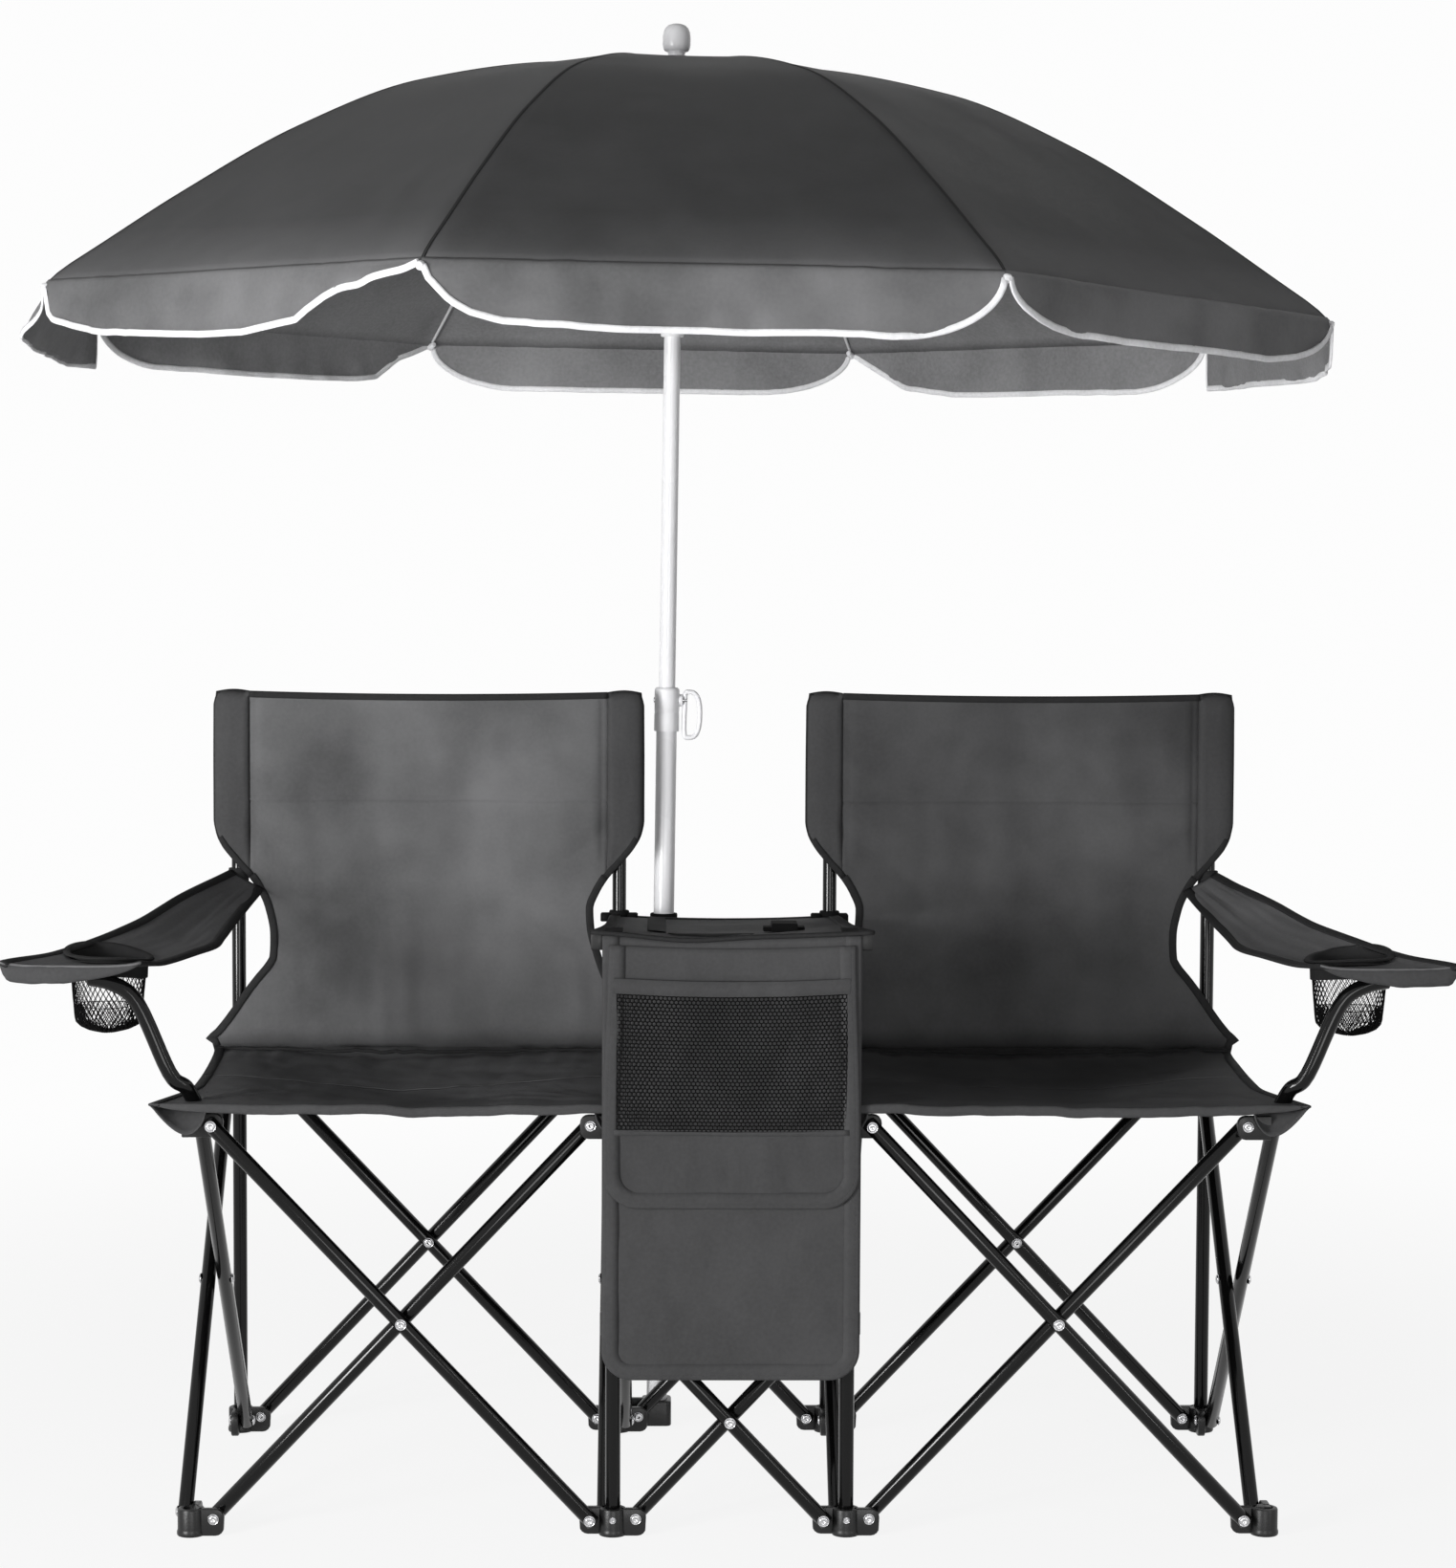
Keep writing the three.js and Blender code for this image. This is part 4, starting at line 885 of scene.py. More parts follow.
def seat(bay):
    """One seat: back, pole sleeves, seat cloth in two halves, bindings and front corners."""
    word, inner, outer = (("left", "inner_left", "outer_left") if bay < 0
                          else ("right", "inner_right", "outer_right"))
    node = f"{word}_seat_sling"
    cx = bay * (OUTER + INNER) / 2
    back_body = BODY[f"rear_{inner}_foot"]
    pole_body = {-bay: back_body, bay: BODY[f"rear_{outer}_foot"]}
    side_word = {-bay: "inner", bay: "outer"}
    back, front = [], []

    def at(x, length):
        return sling_point(bay, x, length) + Vector((cx, 0, 0))

    def edge(s, length):
        """Half width on one side: the side next to the table narrows a little lower down."""
        return half_width(length) if s == bay else smooth_through(INSIDE, length)

    def back_edge(length):
        return half_width(length) if length > WAIST else min(FLAT, half_width(length))

    def seat_piece(name, b, mats, body, thick=None):
        return finish_piece(name, b, mats, body, replaces=[node], slot="seat_cloth", thick=thick)

    def cloth(name, lengths, edge_of, body, count=72):
        b = Build()
        across = spread(1.0, count)
        rows = []
        for L in lengths:
            h = edge_of(L)
            waist = WAIST < L < BACK_LEN - BEND
            more = [edge(1 if t > 0 else -1, L) - half_width(L) if waist else 0 for t in across]
            rows.append([tuple(at(t * (h + m), L)) for t, m in zip(across, more)])
        b.surface(rows, [[(t * edge_of(L), -L) for t in across] for L in lengths])
        obj = seat_piece(name, b, [word], body, CLOTH)
        wide, long = max(edge_of(L) for L in lengths) * 2 / 1000, (lengths[-1] - lengths[0]) / 1000
        area_m2 = sum((edge_of(p) + edge_of(q)) * (q - p) / 1e6 for p, q in zip(lengths, lengths[1:]))
        return obj

    def side_run(s, lengths, edge_of):
        """The points of a side edge, and the ways in from it."""
        P = [tuple(at(s * edge_of(L), L)) for L in lengths]
        inside = [at(s * (edge_of(L) - 2), L) for L in lengths]
        return P, square_to_run(P, [q - Vector(p) for p, q in zip(P, inside)])

    lengths = cut(0, BACK_LEN - BEND, 6.0, [118, 121, 124, 127, 130, 157, 215])
    back.append(cloth(f"{word}_back_cloth", lengths, back_edge, back_body))

    for s in (-1, 1):
        b = Build()
        stops = cut(0, WAIST, 5.0, [6, 157, 160, 170, 182])
        faces = sleeve_rows(bay, s, stops, edge)
        for face, along in zip(faces, (0, 300)):
            rows = [[(cx + x, y, z) for x, y, z in row] for row in face]
            b.surface(rows, [[(x + along, -L) for x, _, _ in row] for row, L in zip(face, stops)])
        name = f"{word}_{side_word[s]}_sleeve"
        obj = seat_piece(name, b, ["hem"], pole_body[s], CLOTH)
        # binding down the sleeve's open edge, from its outer fold in to the waist
        P, inside = ([(cx + row[k][0], row[k][1], row[k][2]) for row in faces[0]] for k in (-1, -3))
        I = square_to_run(P, [Vector(q) - Vector(p) for p, q in zip(P, inside)])
        ribbon(name + "_binding", P, I, [(0, -1, 0.02)] * len(P), "binding", pole_body[s], node,
               width=6)

    for s in (-1, 1):
        P, I = side_run(s, cut(WAIST, BACK_LEN - BEND, 5.0), lambda L: edge(s, L))
        back.append(ribbon(f"{word}_{side_word[s]}_waist_binding", P, I, [(0, -1, 0)] * len(P), "binding",
                           back_body, node, width=7.5))

    P = [tuple(at(x, 0.0)) for x in spread(FLAT, 60)]
    back.append(ribbon(f"{word}_top_hem", P, [(0, 0, -1)] * len(P), [(0, -1, 0)] * len(P), "binding",
                       back_body, node, width=6.5, off=1.4, wrap=0.8))

    # the puckered seam where the back turns into the seat
    b = Build()
    run = []
    for x in spread(half_width(BACK_LEN) - 4, 90):
        p = at(x, BACK_LEN)
        run.append((p.x, p.y - 1.4 + 0.8 * fbm(x / 9, 0.2, 16 + bay, 2),
                    p.z + 0.6 + 1.4 * fbm(x / 11, 0.7, 13 + bay, 2)))
    add_tube(b, run, 2.1, sides=10, cap=0.8)
    back.append(seat_piece(f"{word}_crease_seam", b, ["binding"], back_body))

    # the seat cloth in two halves that meet under the middle
    middle, end = BACK_LEN + 210, BACK_LEN + SEAT_LEN - 2
    rear_body, front_body = (BODY[f"{inner}_side_{way}_tube"] for way in ("backward", "forward"))
    for part, start, stop, body in (("rear", BACK_LEN - BEND, middle, rear_body),
                                    ("front", middle, end, front_body)):
        name = f"{word}_seat_{part}_cloth"
        lengths = cut(start, stop, 6.0)
        front.append(cloth(name, lengths, half_width, body, 80))
        for s in (-1, 1):
            P, I = side_run(s, lengths, half_width)
            N = [run_at(P, k).cross(i) * s for k, i in enumerate(I)]
            front.append(ribbon(f"{name}_{side_word[s]}_binding", P, I, N, "binding", body, node,
                                width=10))

    # front hem: a flat rolled band that hangs a little at the middle
    b = Build()
    rings = []
    across = spread(1.0, 90)
    for t in across:
        p = at(t * half_width(end), end)
        tall = 9.5 * (1 - abs(t) ** 9) + 1.2
        deep = 5.0 * (1 - abs(t) ** 5) + 0.9
        z = p.z - tall / 2 + 1.4 + 0.7 * fbm(t * 9, 0.3, 8 + bay)
        rings.append([(p.x, p.y + math.copysign(abs(c) ** 0.8, c) * deep * 0.6,
                       z + math.copysign(abs(s) ** 0.7, s) * tall / 2) for c, s in turns(14)])
    b.solid(rings, uvs=[[(t * 259, k * 3.2) for k in range(15)] for t in across])
    hem = seat_piece(f"{word}_seat_front_hem", b, ["hem"], front_body)
    front.append(hem)

    # corner pockets over the front brackets
    for s in (-1, 1):
        b = Build()
        n, m = 16, 14
        rows = []
        for j in range(m + 1):
            v = j / m
            y = lerp(-18.0, 62.0, v)
            length = BACK_LEN + BACK_Y - y
            deep = 23.0 * (1 - ease(v / 0.3)) + 7.0 * (1 - ease((v - 0.5) / 0.5))
            row = []
            for i in range(n + 1):
                u = i / n
                top = at(s * lerp(199.0, half_width(length) - 1.0, u), length)
                drop = deep * math.sin(math.pi * min(1.0, u * 1.02) ** 0.7) ** 0.9
                row.append((top.x, y, top.z - 1.2 - drop))
            rows.append(row)
        b.surface(rows, [[(x - cx, y) for x, y, _ in row] for row in rows])
        pocket = seat_piece(f"{word}_{side_word[s]}_front_pocket", b, ["hem"], front_body, CLOTH)
        front.append(pocket)
    squash_all(back)
    squash_all(front)


# ---------------------------------------------------------------- armrests
# The strap's rear end, and its run in plan
ARM_BACK, ARM_RUN = 428.5, 454.5
# along, then out, half width, height and the tip inwards, in millimetres from the outer column
ARM_ROWS = np.array([(0, -10, 19, 646, 22), (0.283, 17, 34, 626.5, 25), (0.503, 31.5, 44.5, 614.5, 21),
                     (0.613, 40, 51, 610, 20), (0.723, 57, 53, 606.5, 17), (0.837, 80.5, 57.5, 602, 12),
                     (0.943, 106.5, 66.5, 599.5, 5), (1, 118, 72.5, 599, 0)])


def arm_row(v):
    """A smooth curve through the armrest's rows."""
    xs, rows = ARM_ROWS[:, 0], ARM_ROWS[:, 1:]
    k = int(np.clip(np.searchsorted(xs, v) - 1, 0, len(xs) - 2))
    h = xs[k + 1] - xs[k]

    def slope(n):
        low, high = max(n - 1, 0), min(n + 1, len(xs) - 1)
        return (rows[high] - rows[low]) / (xs[high] - xs[low])

    return hermite(rows[k], rows[k + 1], h * slope(k), h * slope(k + 1), (v - xs[k]) / h)


def arm_point(side, u, v):
    """The armrest cloth: u from the inner to the outer edge, v from the back pole to the front hem."""
    v = min(1.0, max(0.0, v))
    out, half, z, tip = arm_row(v)
    w = 2 * u - 1
    z += w * tip / 2
    z += 4.0 * ease((v - 0.86) / 0.14) * abs(w) ** 5
    z -= 4.0 * (1 - w * w) * math.sin(math.pi * v) ** 0.5
    z += 2.0 * ease(v / 0.12) * (1 - ease((v - 0.86) / 0.12)) * fbm(u * 2.6, v * 1.5, 21 + side)
    z += 1.4 * fbm(u * 7.0, v * 1.2, 25 + side, 2) * ease(v / 0.15) * (1 - ease((v - 0.5) / 0.3))
    return Vector((side * (OUTER + out + w * half), ARM_BACK - v * ARM_RUN, z))


CUP_Y, CUP_R, CUP_DEEP = 48.0, 40.0, 78.0


def arm_height(side, x, y):
    """The strap's height at a place in plan."""
    v = (ARM_BACK - y) / ARM_RUN
    out, half, _, _ = arm_row(v)
    return arm_point(side, min(1, max(0, ((abs(x) - OUTER - out) / half + 1) / 2)), v).z


def cup_centre(side):
    x = side * (OUTER + arm_row((ARM_BACK - CUP_Y) / ARM_RUN)[0] + 9)
    return Vector((x, CUP_Y, arm_height(side, x, CUP_Y)))


def strap_shape(side, c, us, vs):
    """The armrest's strap, with a round hole for the cup."""
    b = Build()
    nu, nv = len(us) - 1, len(vs) - 1
    grid = [[arm_point(side, u, v) for u in us] for v in vs]
    step = 7.0
    ids = {}

    def away(i, j):
        return math.hypot(grid[j][i].x - c.x, grid[j][i].y - c.y)

    def corner(i, j):
        if (i, j) not in ids:
            p, d = grid[j][i], away(i, j)
            if CUP_R - step < d < CUP_R + step * 0.6:
                p = Vector((c.x + (p.x - c.x) / d * CUP_R, c.y + (p.y - c.y) / d * CUP_R, p.z))
            ids[(i, j)] = b.point(tuple(p))
        return ids[(i, j)]

    for j in range(nv):
        for i in range(nu):
            quad = [(i, j), (i + 1, j), (i + 1, j + 1), (i, j + 1)]
            ds = [away(*q) for q in quad]
            if sum(ds) / 4 < CUP_R - 2.5 or sum(1 for d in ds if d < CUP_R - step) >= 2:
                continue
            uv = [((p / nu - 0.5) * 0.002 * arm_row(q / nv)[1], -q / nv * 0.46) for p, q in quad]
            b.face([corner(*q) for q in quad], 0, uv)
    return b


def armrest(side):
    word = "left" if side < 0 else "right"
    node = f"{word}_armrest"
    pole = BODY[f"rear_outer_{word}_foot"]
    c = cup_centre(side)
    us = [i / 34 for i in range(35)]
    vs = [j / 76 for j in range(77)]

    def arm_piece(name, b, mat, thick=None):
        return finish_piece(f"{word}_{name}", b, [mat], pole, replaces=[node], slot="seat_cloth",
                            thick=thick)

    strap = arm_piece("arm_cloth", strap_shape(side, c, us, vs), "arm", PADDED_CLOTH)
    made = [strap]
    for part, u0, way in (("inner", 0.0, 1), ("outer", 1.0, -1)):
        P, I, N = [], [], []
        for v in vs:
            p = arm_point(side, u0, v)
            i = arm_point(side, u0 + way * 0.02, v) - p
            r = arm_point(side, u0, min(1, v + 0.01)) - arm_point(side, u0, max(0, v - 0.01))
            i = (i - r * (i.dot(r) / r.length_squared)).normalized()
            P.append(tuple(p))
            I.append(i)
            N.append(r.cross(i) * (1 if r.cross(i).z > 0 else -1))
        made.append(ribbon(f"{word}_arm_tape_{part}", P, I, N, "binding", pole, node, width=9,
                           off=2.0))
    # front hem: a lens-shaped pocket for the end of the support
    b = Build()
    rings, uvs = [], []
    for k in range(41):
        u = k / 40
        p = arm_point(side, u, 1.0)
        lens = min(1.0, (1 - u) / 0.06 + 0.03) ** 0.5 * min(1.0, u / 0.55 + 0.01) ** 0.6
        tall, deep = 18.5 * lens + 1.6, 9.0 * lens + 1.2
        rings.append([(p.x, p.y + 3 + ct * deep / 2,
                       p.z - tall / 2 + 1.5 + st * tall / 2 + fbm(u * 6, m * 0.2, 31 + side, 2) * lens)
                      for m, (ct, st) in enumerate(turns(16))])
        uvs.append([(u * 145, m * 2.6) for m in range(17)])
    b.solid(rings, uvs=uvs)
    hem = arm_piece("arm_hem", b, "hem")
    made.append(hem)
    # loop round the back pole
    b = Build()
    sides = 32
    rings = []
    for r, z in ((9.0, 632), (11.4, 632.6), (11.8, 636), (11.6, 646), (11.8, 656), (11.3, 659.6),
                 (9.0, 660)):
        radii = [r + 0.3 * fbm(i * 0.7, z / 9, 3) for i in range(sides)]
        rings.append(circle(side * OUTER, ROW, radii, z, sides))
    b.rings(rings, uvs=[[(i * 2.3, k * 4) for i in range(sides + 1)] for k in range(len(rings))])
    arm_piece("arm_loop", b, "binding")
    # net cup with a bound mouth
    made.append(cup_net(f"{word}_cup_net", node, pole, c))
    made.append(cup_net(f"{word}_cup_gather", node, pole, c, 0.55, 3.6, 1.25))
    b = Build()
    section = ((7, 1.2), (6.6, 2.6), (1.2, 2.9), (-0.9, 1.4), (-1.2, -17.0), (0.4, -17.4), (1.0, -2.4),
               (6.6, -2.4), (7, -1.2))
    rows = []
    for ct, st in turns(64) + turns(64)[:1]:
        z = arm_height(side, c.x + CUP_R * ct, c.y + CUP_R * st) + 5.0 * max(0.0, -st) ** 1.5
        rows.append([(c.x + (CUP_R + d) * ct, c.y + (CUP_R + d) * st, z + h) for d, h in section])
    b.surface(rows, [[(k * 4, m * 3) for m in range(9)] for k in range(65)])
    rim = arm_piece("cup_rim", b, "binding", 0.6)
    made.append(rim)
    squash_all(made)


def wire(obj, thick):
    """Turn a net's edges into threads."""
    mod = obj.modifiers.new("strands", "WIREFRAME")
    mod.thickness = thick / 1000
    mod.use_even_offset = False
    mod.use_boundary = True
    with bpy.context.temp_override(object=obj, active_object=obj, selected_objects=[obj]):
        bpy.context.view_layer.objects.active = obj
        bpy.ops.object.modifier_apply(modifier=mod.name)


def hex_net(f, width, height, cell):
    """Open hexagons over a flat region, placed through f(x, y)."""
    b = Build()
    r = cell / math.sqrt(3)
    seen = {}

    def corner(x, y):
        x, y = min(width, max(0.0, x)), min(height, max(0.0, y))
        key = (round(x, 2), round(y, 2))
        if key not in seen:
            seen[key] = b.point(tuple(f(x, y)))
        return seen[key]

    for j in range(-1, int(height / (1.5 * r)) + 2):
        for i in range(-1, int(width / cell) + 2):
            x0 = (i + 0.5 * (j % 2)) * cell
            y0 = j * 1.5 * r
            if abs(x0 - width / 2) > width / 2 + cell * 0.3 or abs(y0 - height / 2) > height / 2 + r * 0.6:
                continue
            ids = []
            for k in range(6):
                a = math.pi / 6 + k * math.pi / 3
                c = corner(x0 + r * math.cos(a), y0 + r * math.sin(a))
                if not ids or (c != ids[-1] and c != ids[0]):
                    ids.append(c)
            if len(ids) > 2:
                b.face(ids, 0)
    return b


def cup_net(name, node, pole, c, start=0.0, loose=1.3, thread=1.15):
    """A soft net cup that hangs from its rim, gathered at the bottom. start is where it begins."""
    around, down = 40, 9 if start else 17
    turn_in, wall = 0.72, CUP_DEEP - 18
    b = Build()
    ids = []
    for j in range(down + 1):
        t = lerp(start, 1.0, j / down)
        if t < turn_in:
            r = lerp(CUP_R - 0.5, CUP_R - 5.5, t / turn_in)
            z = -4 - t / turn_in * wall
        else:
            q = (t - turn_in) / (1 - turn_in) * math.pi / 2
            r = max(3.0, (CUP_R - 5.5) * math.cos(q) ** 0.8)
            z = -4 - wall - 13.5 * math.sin(q)
        r -= 4 if start else 0
        row = []
        for i in range(around):
            ang = 2 * math.pi * (i + 0.5 * (j % 2)) / around
            ct, st = math.cos(ang), math.sin(ang)
            dent = fbm(ct * 1.7 * loose + 5, st * 1.7 * loose + z / 50, 41 + c.x / 999)
            rr = r + loose * dent * math.sin(math.pi * min(1, t * 1.1))
            row.append(b.point((c.x + rr * ct, c.y + rr * st, c.z + z + 0.8 * math.cos(2 * ang))))
        ids.append(row)
    for j in range(down):
        for i in range(around):
            k = (i + 1) % around
            here, right, low, low_right = ids[j][i], ids[j][k], ids[j + 1][i], ids[j + 1][k]
            if j % 2 == 0:
                b.face([here, low, right])
                b.face([right, low, low_right])
            else:
                b.face([here, low, low_right])
                b.face([here, low_right, right])
    me = b.mesh(name)
    bm = bmesh.new()
    bm.from_mesh(me)
    bm.verts.ensure_lookup_table()
    level = [e for e in bm.edges if e.verts[0].index // around == e.verts[1].index // around
             and 0 < e.verts[0].index // around < down]
    bmesh.ops.dissolve_edges(bm, edges=level, use_verts=False)
    bm.to_mesh(me)
    bm.free()
    obj = finish_piece(name, me, ["net"], pole, replaces=[node], slot="seat_cloth")
    wire(obj, thread)
    return obj


# ---------------------------------------------------------------- table and cooler


# The table's height in front, its fall to the rear, and its front and rear edges
TABLE_Z, TABLE_DROP, TABLE_FRONT, TABLE_REAR = 638, 33, -30.3, 451


def table_point(u, v):
    """The table cloth: u from its left to its right edge, v from the front to the rear."""
    side = 2 * u - 1
    ear = 13 * abs(side) * max(0.0, 1 - 2 * v) ** 2
    sag = 9 * (1 - side * side) * (0.5 + 0.5 * math.sin(math.pi * v))
    z = TABLE_Z - 1.5 - TABLE_DROP * v - sag
    soft = 2.0 * fbm(u * 2.2, v * 3.2, 51) + 1.2 * fbm(u * 6, v * 7, 52)
    z += (1 - abs(side) ** 4) * math.sin(math.pi * v) ** 0.4 * soft
    z -= 4.4 * ridge(v, 0.12) * ridge(side + 0.35, 0.35)
    return Vector((side * (132.5 + ear), lerp(TABLE_FRONT, TABLE_REAR, v), z))


def table():
    us = [i / 44 for i in range(45)]
    vs = [j / 66 for j in range(67)]
    on = {"replaces": ["table_top"], "slot": "table_cloth"}
    b = Build()
    b.surface([[tuple(table_point(u, v)) for u in us] for v in vs], [[(u * 280, v * 482) for u in us]
                                                                     for v in vs])
    top = finish_piece("table_cloth", b, ["cooler"], ROOT, thick=PADDED_CLOTH, **on)
    made = [top]
    runs = (("front", [(u, 0.0) for u in us], (0, 0.01)), ("rear", [(u, 1.0) for u in us], (0, -0.01)),
            ("left", [(0.0, v) for v in vs], (0.01, 0)), ("right", [(1.0, v) for v in vs], (-0.01, 0)))
    for word, path, way in runs:
        P = [tuple(table_point(u, v)) for u, v in path]
        I = [table_point(u + way[0], v + way[1]) - Vector(p) for (u, v), p in zip(path, P)]
        made.append(ribbon(f"table_{word}_binding", P, I, [(0, 0, 1)] * len(P), "binding", ROOT,
                           "table_top",
                           width=12, off=2.1))
    # strap and loop round the umbrella pole
    rear = TABLE_Z - TABLE_DROP - 9
    px = POLE_X + rear * math.tan(LEAN)
    b = Build()
    b.band(px, POLE_Y, ((13.2, rear - 9), (15.6, rear - 8.4), (16.0, rear - 4), (15.8, rear + 3),
                        (16.0, rear + 7),
                        (15.5, rear + 8.6), (13.2, rear + 9)), 36, 2.8, 3)
    finish_piece("pole_loop", b, ["webbing"], ROOT, **on)
    b = Build()
    z = rear - 0.2
    b.solid([[(px + x, lerp(440, 463.5, k / 8), z + h) for x, h in ((-11, 1.4), (11, 1.4), (11, -1.4),
                                                                    (-11, -1.4))]
             for k in range(9)])
    finish_piece("pole_strap", b, ["webbing"], ROOT, angle=40, **on)
    squash_all(made)


# The height at which a hanging panel's rumples begin
PANEL_TOP = 629


def hanging(x, z, y0, width, bottom, seed, amp=1.0):
    """Depth of a hanging panel: soft rumples that die out at its edges."""
    edge = ease((width / 2 - abs(x)) / 26) * ease((PANEL_TOP - z) / 40) * ease((z - bottom) / 26)
    d = 2.2 * fbm(x / 75, z / 80, seed) + 1.2 * fbm(x / 26, z / 34, seed + 3, 2)
    return y0 + amp * edge * d


def flap_top(x):
    """The table hem's underside, which the panel is sewn to."""
    return table_point(0.5 + x / 291, 0.006).z - 2.2


def panel_sheet(name, node, body, y0, width, bottom, corner, seed, amp, top_of, taper=0.0):
    """A hanging cloth panel with rounded lower corners, bound all round. top_of gives its upper edge."""
    top, half, thick = PANEL_TOP, width / 2, 2.4
    nx, nz = 46, int((top - bottom) / 6)

    def narrow(z):
        return taper * ease((z - top + 200) / 200)

    def on_panel(x, z):
        return x, hanging(x, z, y0, width, bottom, seed, amp), z

    rows = []
    for j in range(nz + 1):
        row = []
        for i in range(nx + 1):
            s = 2 * i / nx - 1
            z = lerp(top_of(s * half), bottom, j / nz)
            h = half
            if z < bottom + corner:
                h = half - corner + math.sqrt(max(0.0, corner ** 2 - (bottom + corner - z) ** 2))
            row.append(on_panel(s * (h - narrow(z)), z))
        rows.append(row)
    b = Build()
    b.surface(rows, [[(x, z) for x, _, z in row] for row in rows])
    obj = finish_piece(name, b, ["cooler"], body, replaces=[node], slot="cooler_cloth", thick=thick)
    # outline from the upper left corner, down and round to the upper right, with the ways in
    left = [(-half + narrow(z), z, 1, 0) for z in reversed(cut(bottom + corner, top_of(-half) - 1, 6))]
    right = [(half - narrow(z), z, -1, 0) for z in cut(bottom + corner, top_of(half) - 1, 6)]
    foot = [(x, bottom, 0, 1) for x in cut(-half + corner, half - corner, 6)]
    bends = ([], [])
    for k in range(1, 15):
        a = math.pi / 2 * k / 15
        x, z = half - corner + corner * math.cos(a), bottom + corner - corner * math.sin(a)
        bends[0].append((-x, z, math.cos(a), math.sin(a)))
        bends[1].insert(0, (x, z, -math.cos(a), math.sin(a)))
    line = left + bends[0] + foot + bends[1] + right
    P = [on_panel(x, z) for x, z, _, _ in line]
    I = [(a, 0, c) for _, _, a, c in line]
    tape = ribbon(f"{name}_binding", P, I, [(0, -1, 0)] * len(P), "cooler_binding", body, node,
                  width=15.5, off=thick / 2 + 0.7, wrap=1.2)
    return [obj, tape]


def cooler():
    front = BODY["front_inner_left_foot"]
    on = {"replaces": ["cooler_bag"], "slot": "cooler_cloth"}
    panel = panel_sheet("cooler_panel", "cooler_bag", front, -23.8, 265, 170, 30, 61, 0.8, flap_top)
    # the bag behind the legs, open at the top: (how far out, height) up its outside and down its inside
    b = Build()
    half_x, middle_y, half_y, low, high = 79.0, 141.0, 118.0, 171.0, 589.0
    profile = [(-16, low), (-6, low + 0.5), (-1.5, low + 3), (0, low + 9)]
    profile += [(1.3 * fbm(0.3, z / 70, 71), z) for z in range(190, 580, 10)]
    profile += [(0, high - 2), (-1.2, high), (-3.4, high), (-4.6, high - 2)]
    profile += [(-4.8, z) for z in range(570, 190, -20)] + [(-5, low + 8), (-14, low + 6)]
    b.solid([soft_box(0, middle_y, half_x + g, half_y + g, z, 7, 64) for g, z in profile],
            uvs=[[(i * 10, z) for i in range(65)] for g, z in profile],
            ends=((0, middle_y, low), (0, middle_y, low + 6)))
    bag = finish_piece("cooler_bag_cloth", b, ["cooler"], front, **on)
    # neck between the panel and the bag, behind the flap
    b = Build()
    walls = cut(264, 588, 18)
    for x0, x1, levels, middle in ((-79, -75, walls, 1.5), (75, 79, walls, 1.5), (-75, 75, (264, 269), 0)):
        ends = [((x0 + x1) / 2, middle, levels[k]) for k in (0, -1)]
        b.solid([[(x0, -21, z), (x0, 24, z), (x1, 24, z), (x1, -21, z)] for z in levels], ends=ends)
    neck = finish_piece("cooler_neck", b, ["cooler"], front, angle=40, **on)
    squash_all(panel)
    squash_all([bag, neck])


POCKET = (-118.5, 118.5, 430.0, 588.0)


def pocket_depth(x, z):
    """How far the net pocket stands off the flap."""
    x0, x1, z0, z1 = POCKET
    side = math.sin(math.pi * (x - x0) / (x1 - x0)) ** 0.5 if x0 < x < x1 else 0
    up = (z - z0) / (z1 - z0)
    return side * (1.2 + 3.4 * ease(up / 0.25)) * (1 + 0.22 * fbm(x / 40, z / 50, 81))


def flap():
    body = BODY["cooler_flap"]
    bottom, seed, y0 = 350, 66, -27.4
    on = {"replaces": ["cooler_flap"], "slot": "cooler_cloth"}
    made = panel_sheet("flap_cloth", "cooler_flap", body, y0, 263, bottom, 36, seed, 1.0,
                       lambda x: 623 - 4 * (1 - (x / 133) ** 2), taper=5.5)
    x0, x1, z0, z1 = POCKET
    height = z1 - 14 - z0

    def depth(x, z):
        return hanging(x, z, y0, 265, bottom, seed)

    def sag(x):
        return 3.0 * (1 - ((x - (x0 + x1) / 2) / ((x1 - x0) / 2)) ** 2)

    def place(x, y):
        x += x0
        z = z0 + y * (height - sag(x)) / height
        return x, depth(x, z) - 2.0 - pocket_depth(x, z), z

    net = finish_piece("pocket_net", hex_net(place, x1 - x0, height, 4.5), ["net"], body, **on)
    wire(net, 1.4)
    made.append(net)
    # a wide hem along the top, and a tape along the foot
    b = Build()
    rows = []
    xs = cut(x0 - 3, x1 + 3, 6)
    for x in xs:
        xc = min(x1, max(x0, x))
        low = z1 - 16 - sag(xc) + 0.8
        row = []
        for d, h in ((-0.2, 0), (-1.0, 0.5), (-1.0, 15.5), (-0.2, 16.2), (0.8, 15.5), (0.8, 0.5),
                     (-0.2, 0)):
            stand = pocket_depth(xc, low + h) * (1 - 0.12 * h / 16)
            row.append((x, depth(xc, low + h) - 2.0 - stand + d, low + h))
        rows.append(row)
    b.surface(rows, [[(x, k * 5.0) for k in range(7)] for x in xs])
    hem = finish_piece("pocket_hem", b, ["cooler_binding"], body, **on)
    made.append(hem)
    b = Build()
    section = ((-3.2, 0), (-2.9, -0.9), (2.9, -0.9), (3.2, 0), (2.9, 0.7), (-2.9, 0.7))
    rings = [[(x, depth(x, z0 - 1.5 + d) - 2.3 + h, z0 - 1.5 + d) for d, h in section] for x in xs]
    b.solid(rings, uvs=[[(k * 6, j * 2.6) for j in range(7)] for k in range(len(xs))])
    tape = finish_piece("pocket_foot_tape", b, ["cooler_binding"], body, **on)
    made.append(tape)
    squash_all(made)


# ---------------------------------------------------------------- umbrella
POLE_X, POLE_Y, LEAN = -77.0, 476.0, math.radians(0.64)


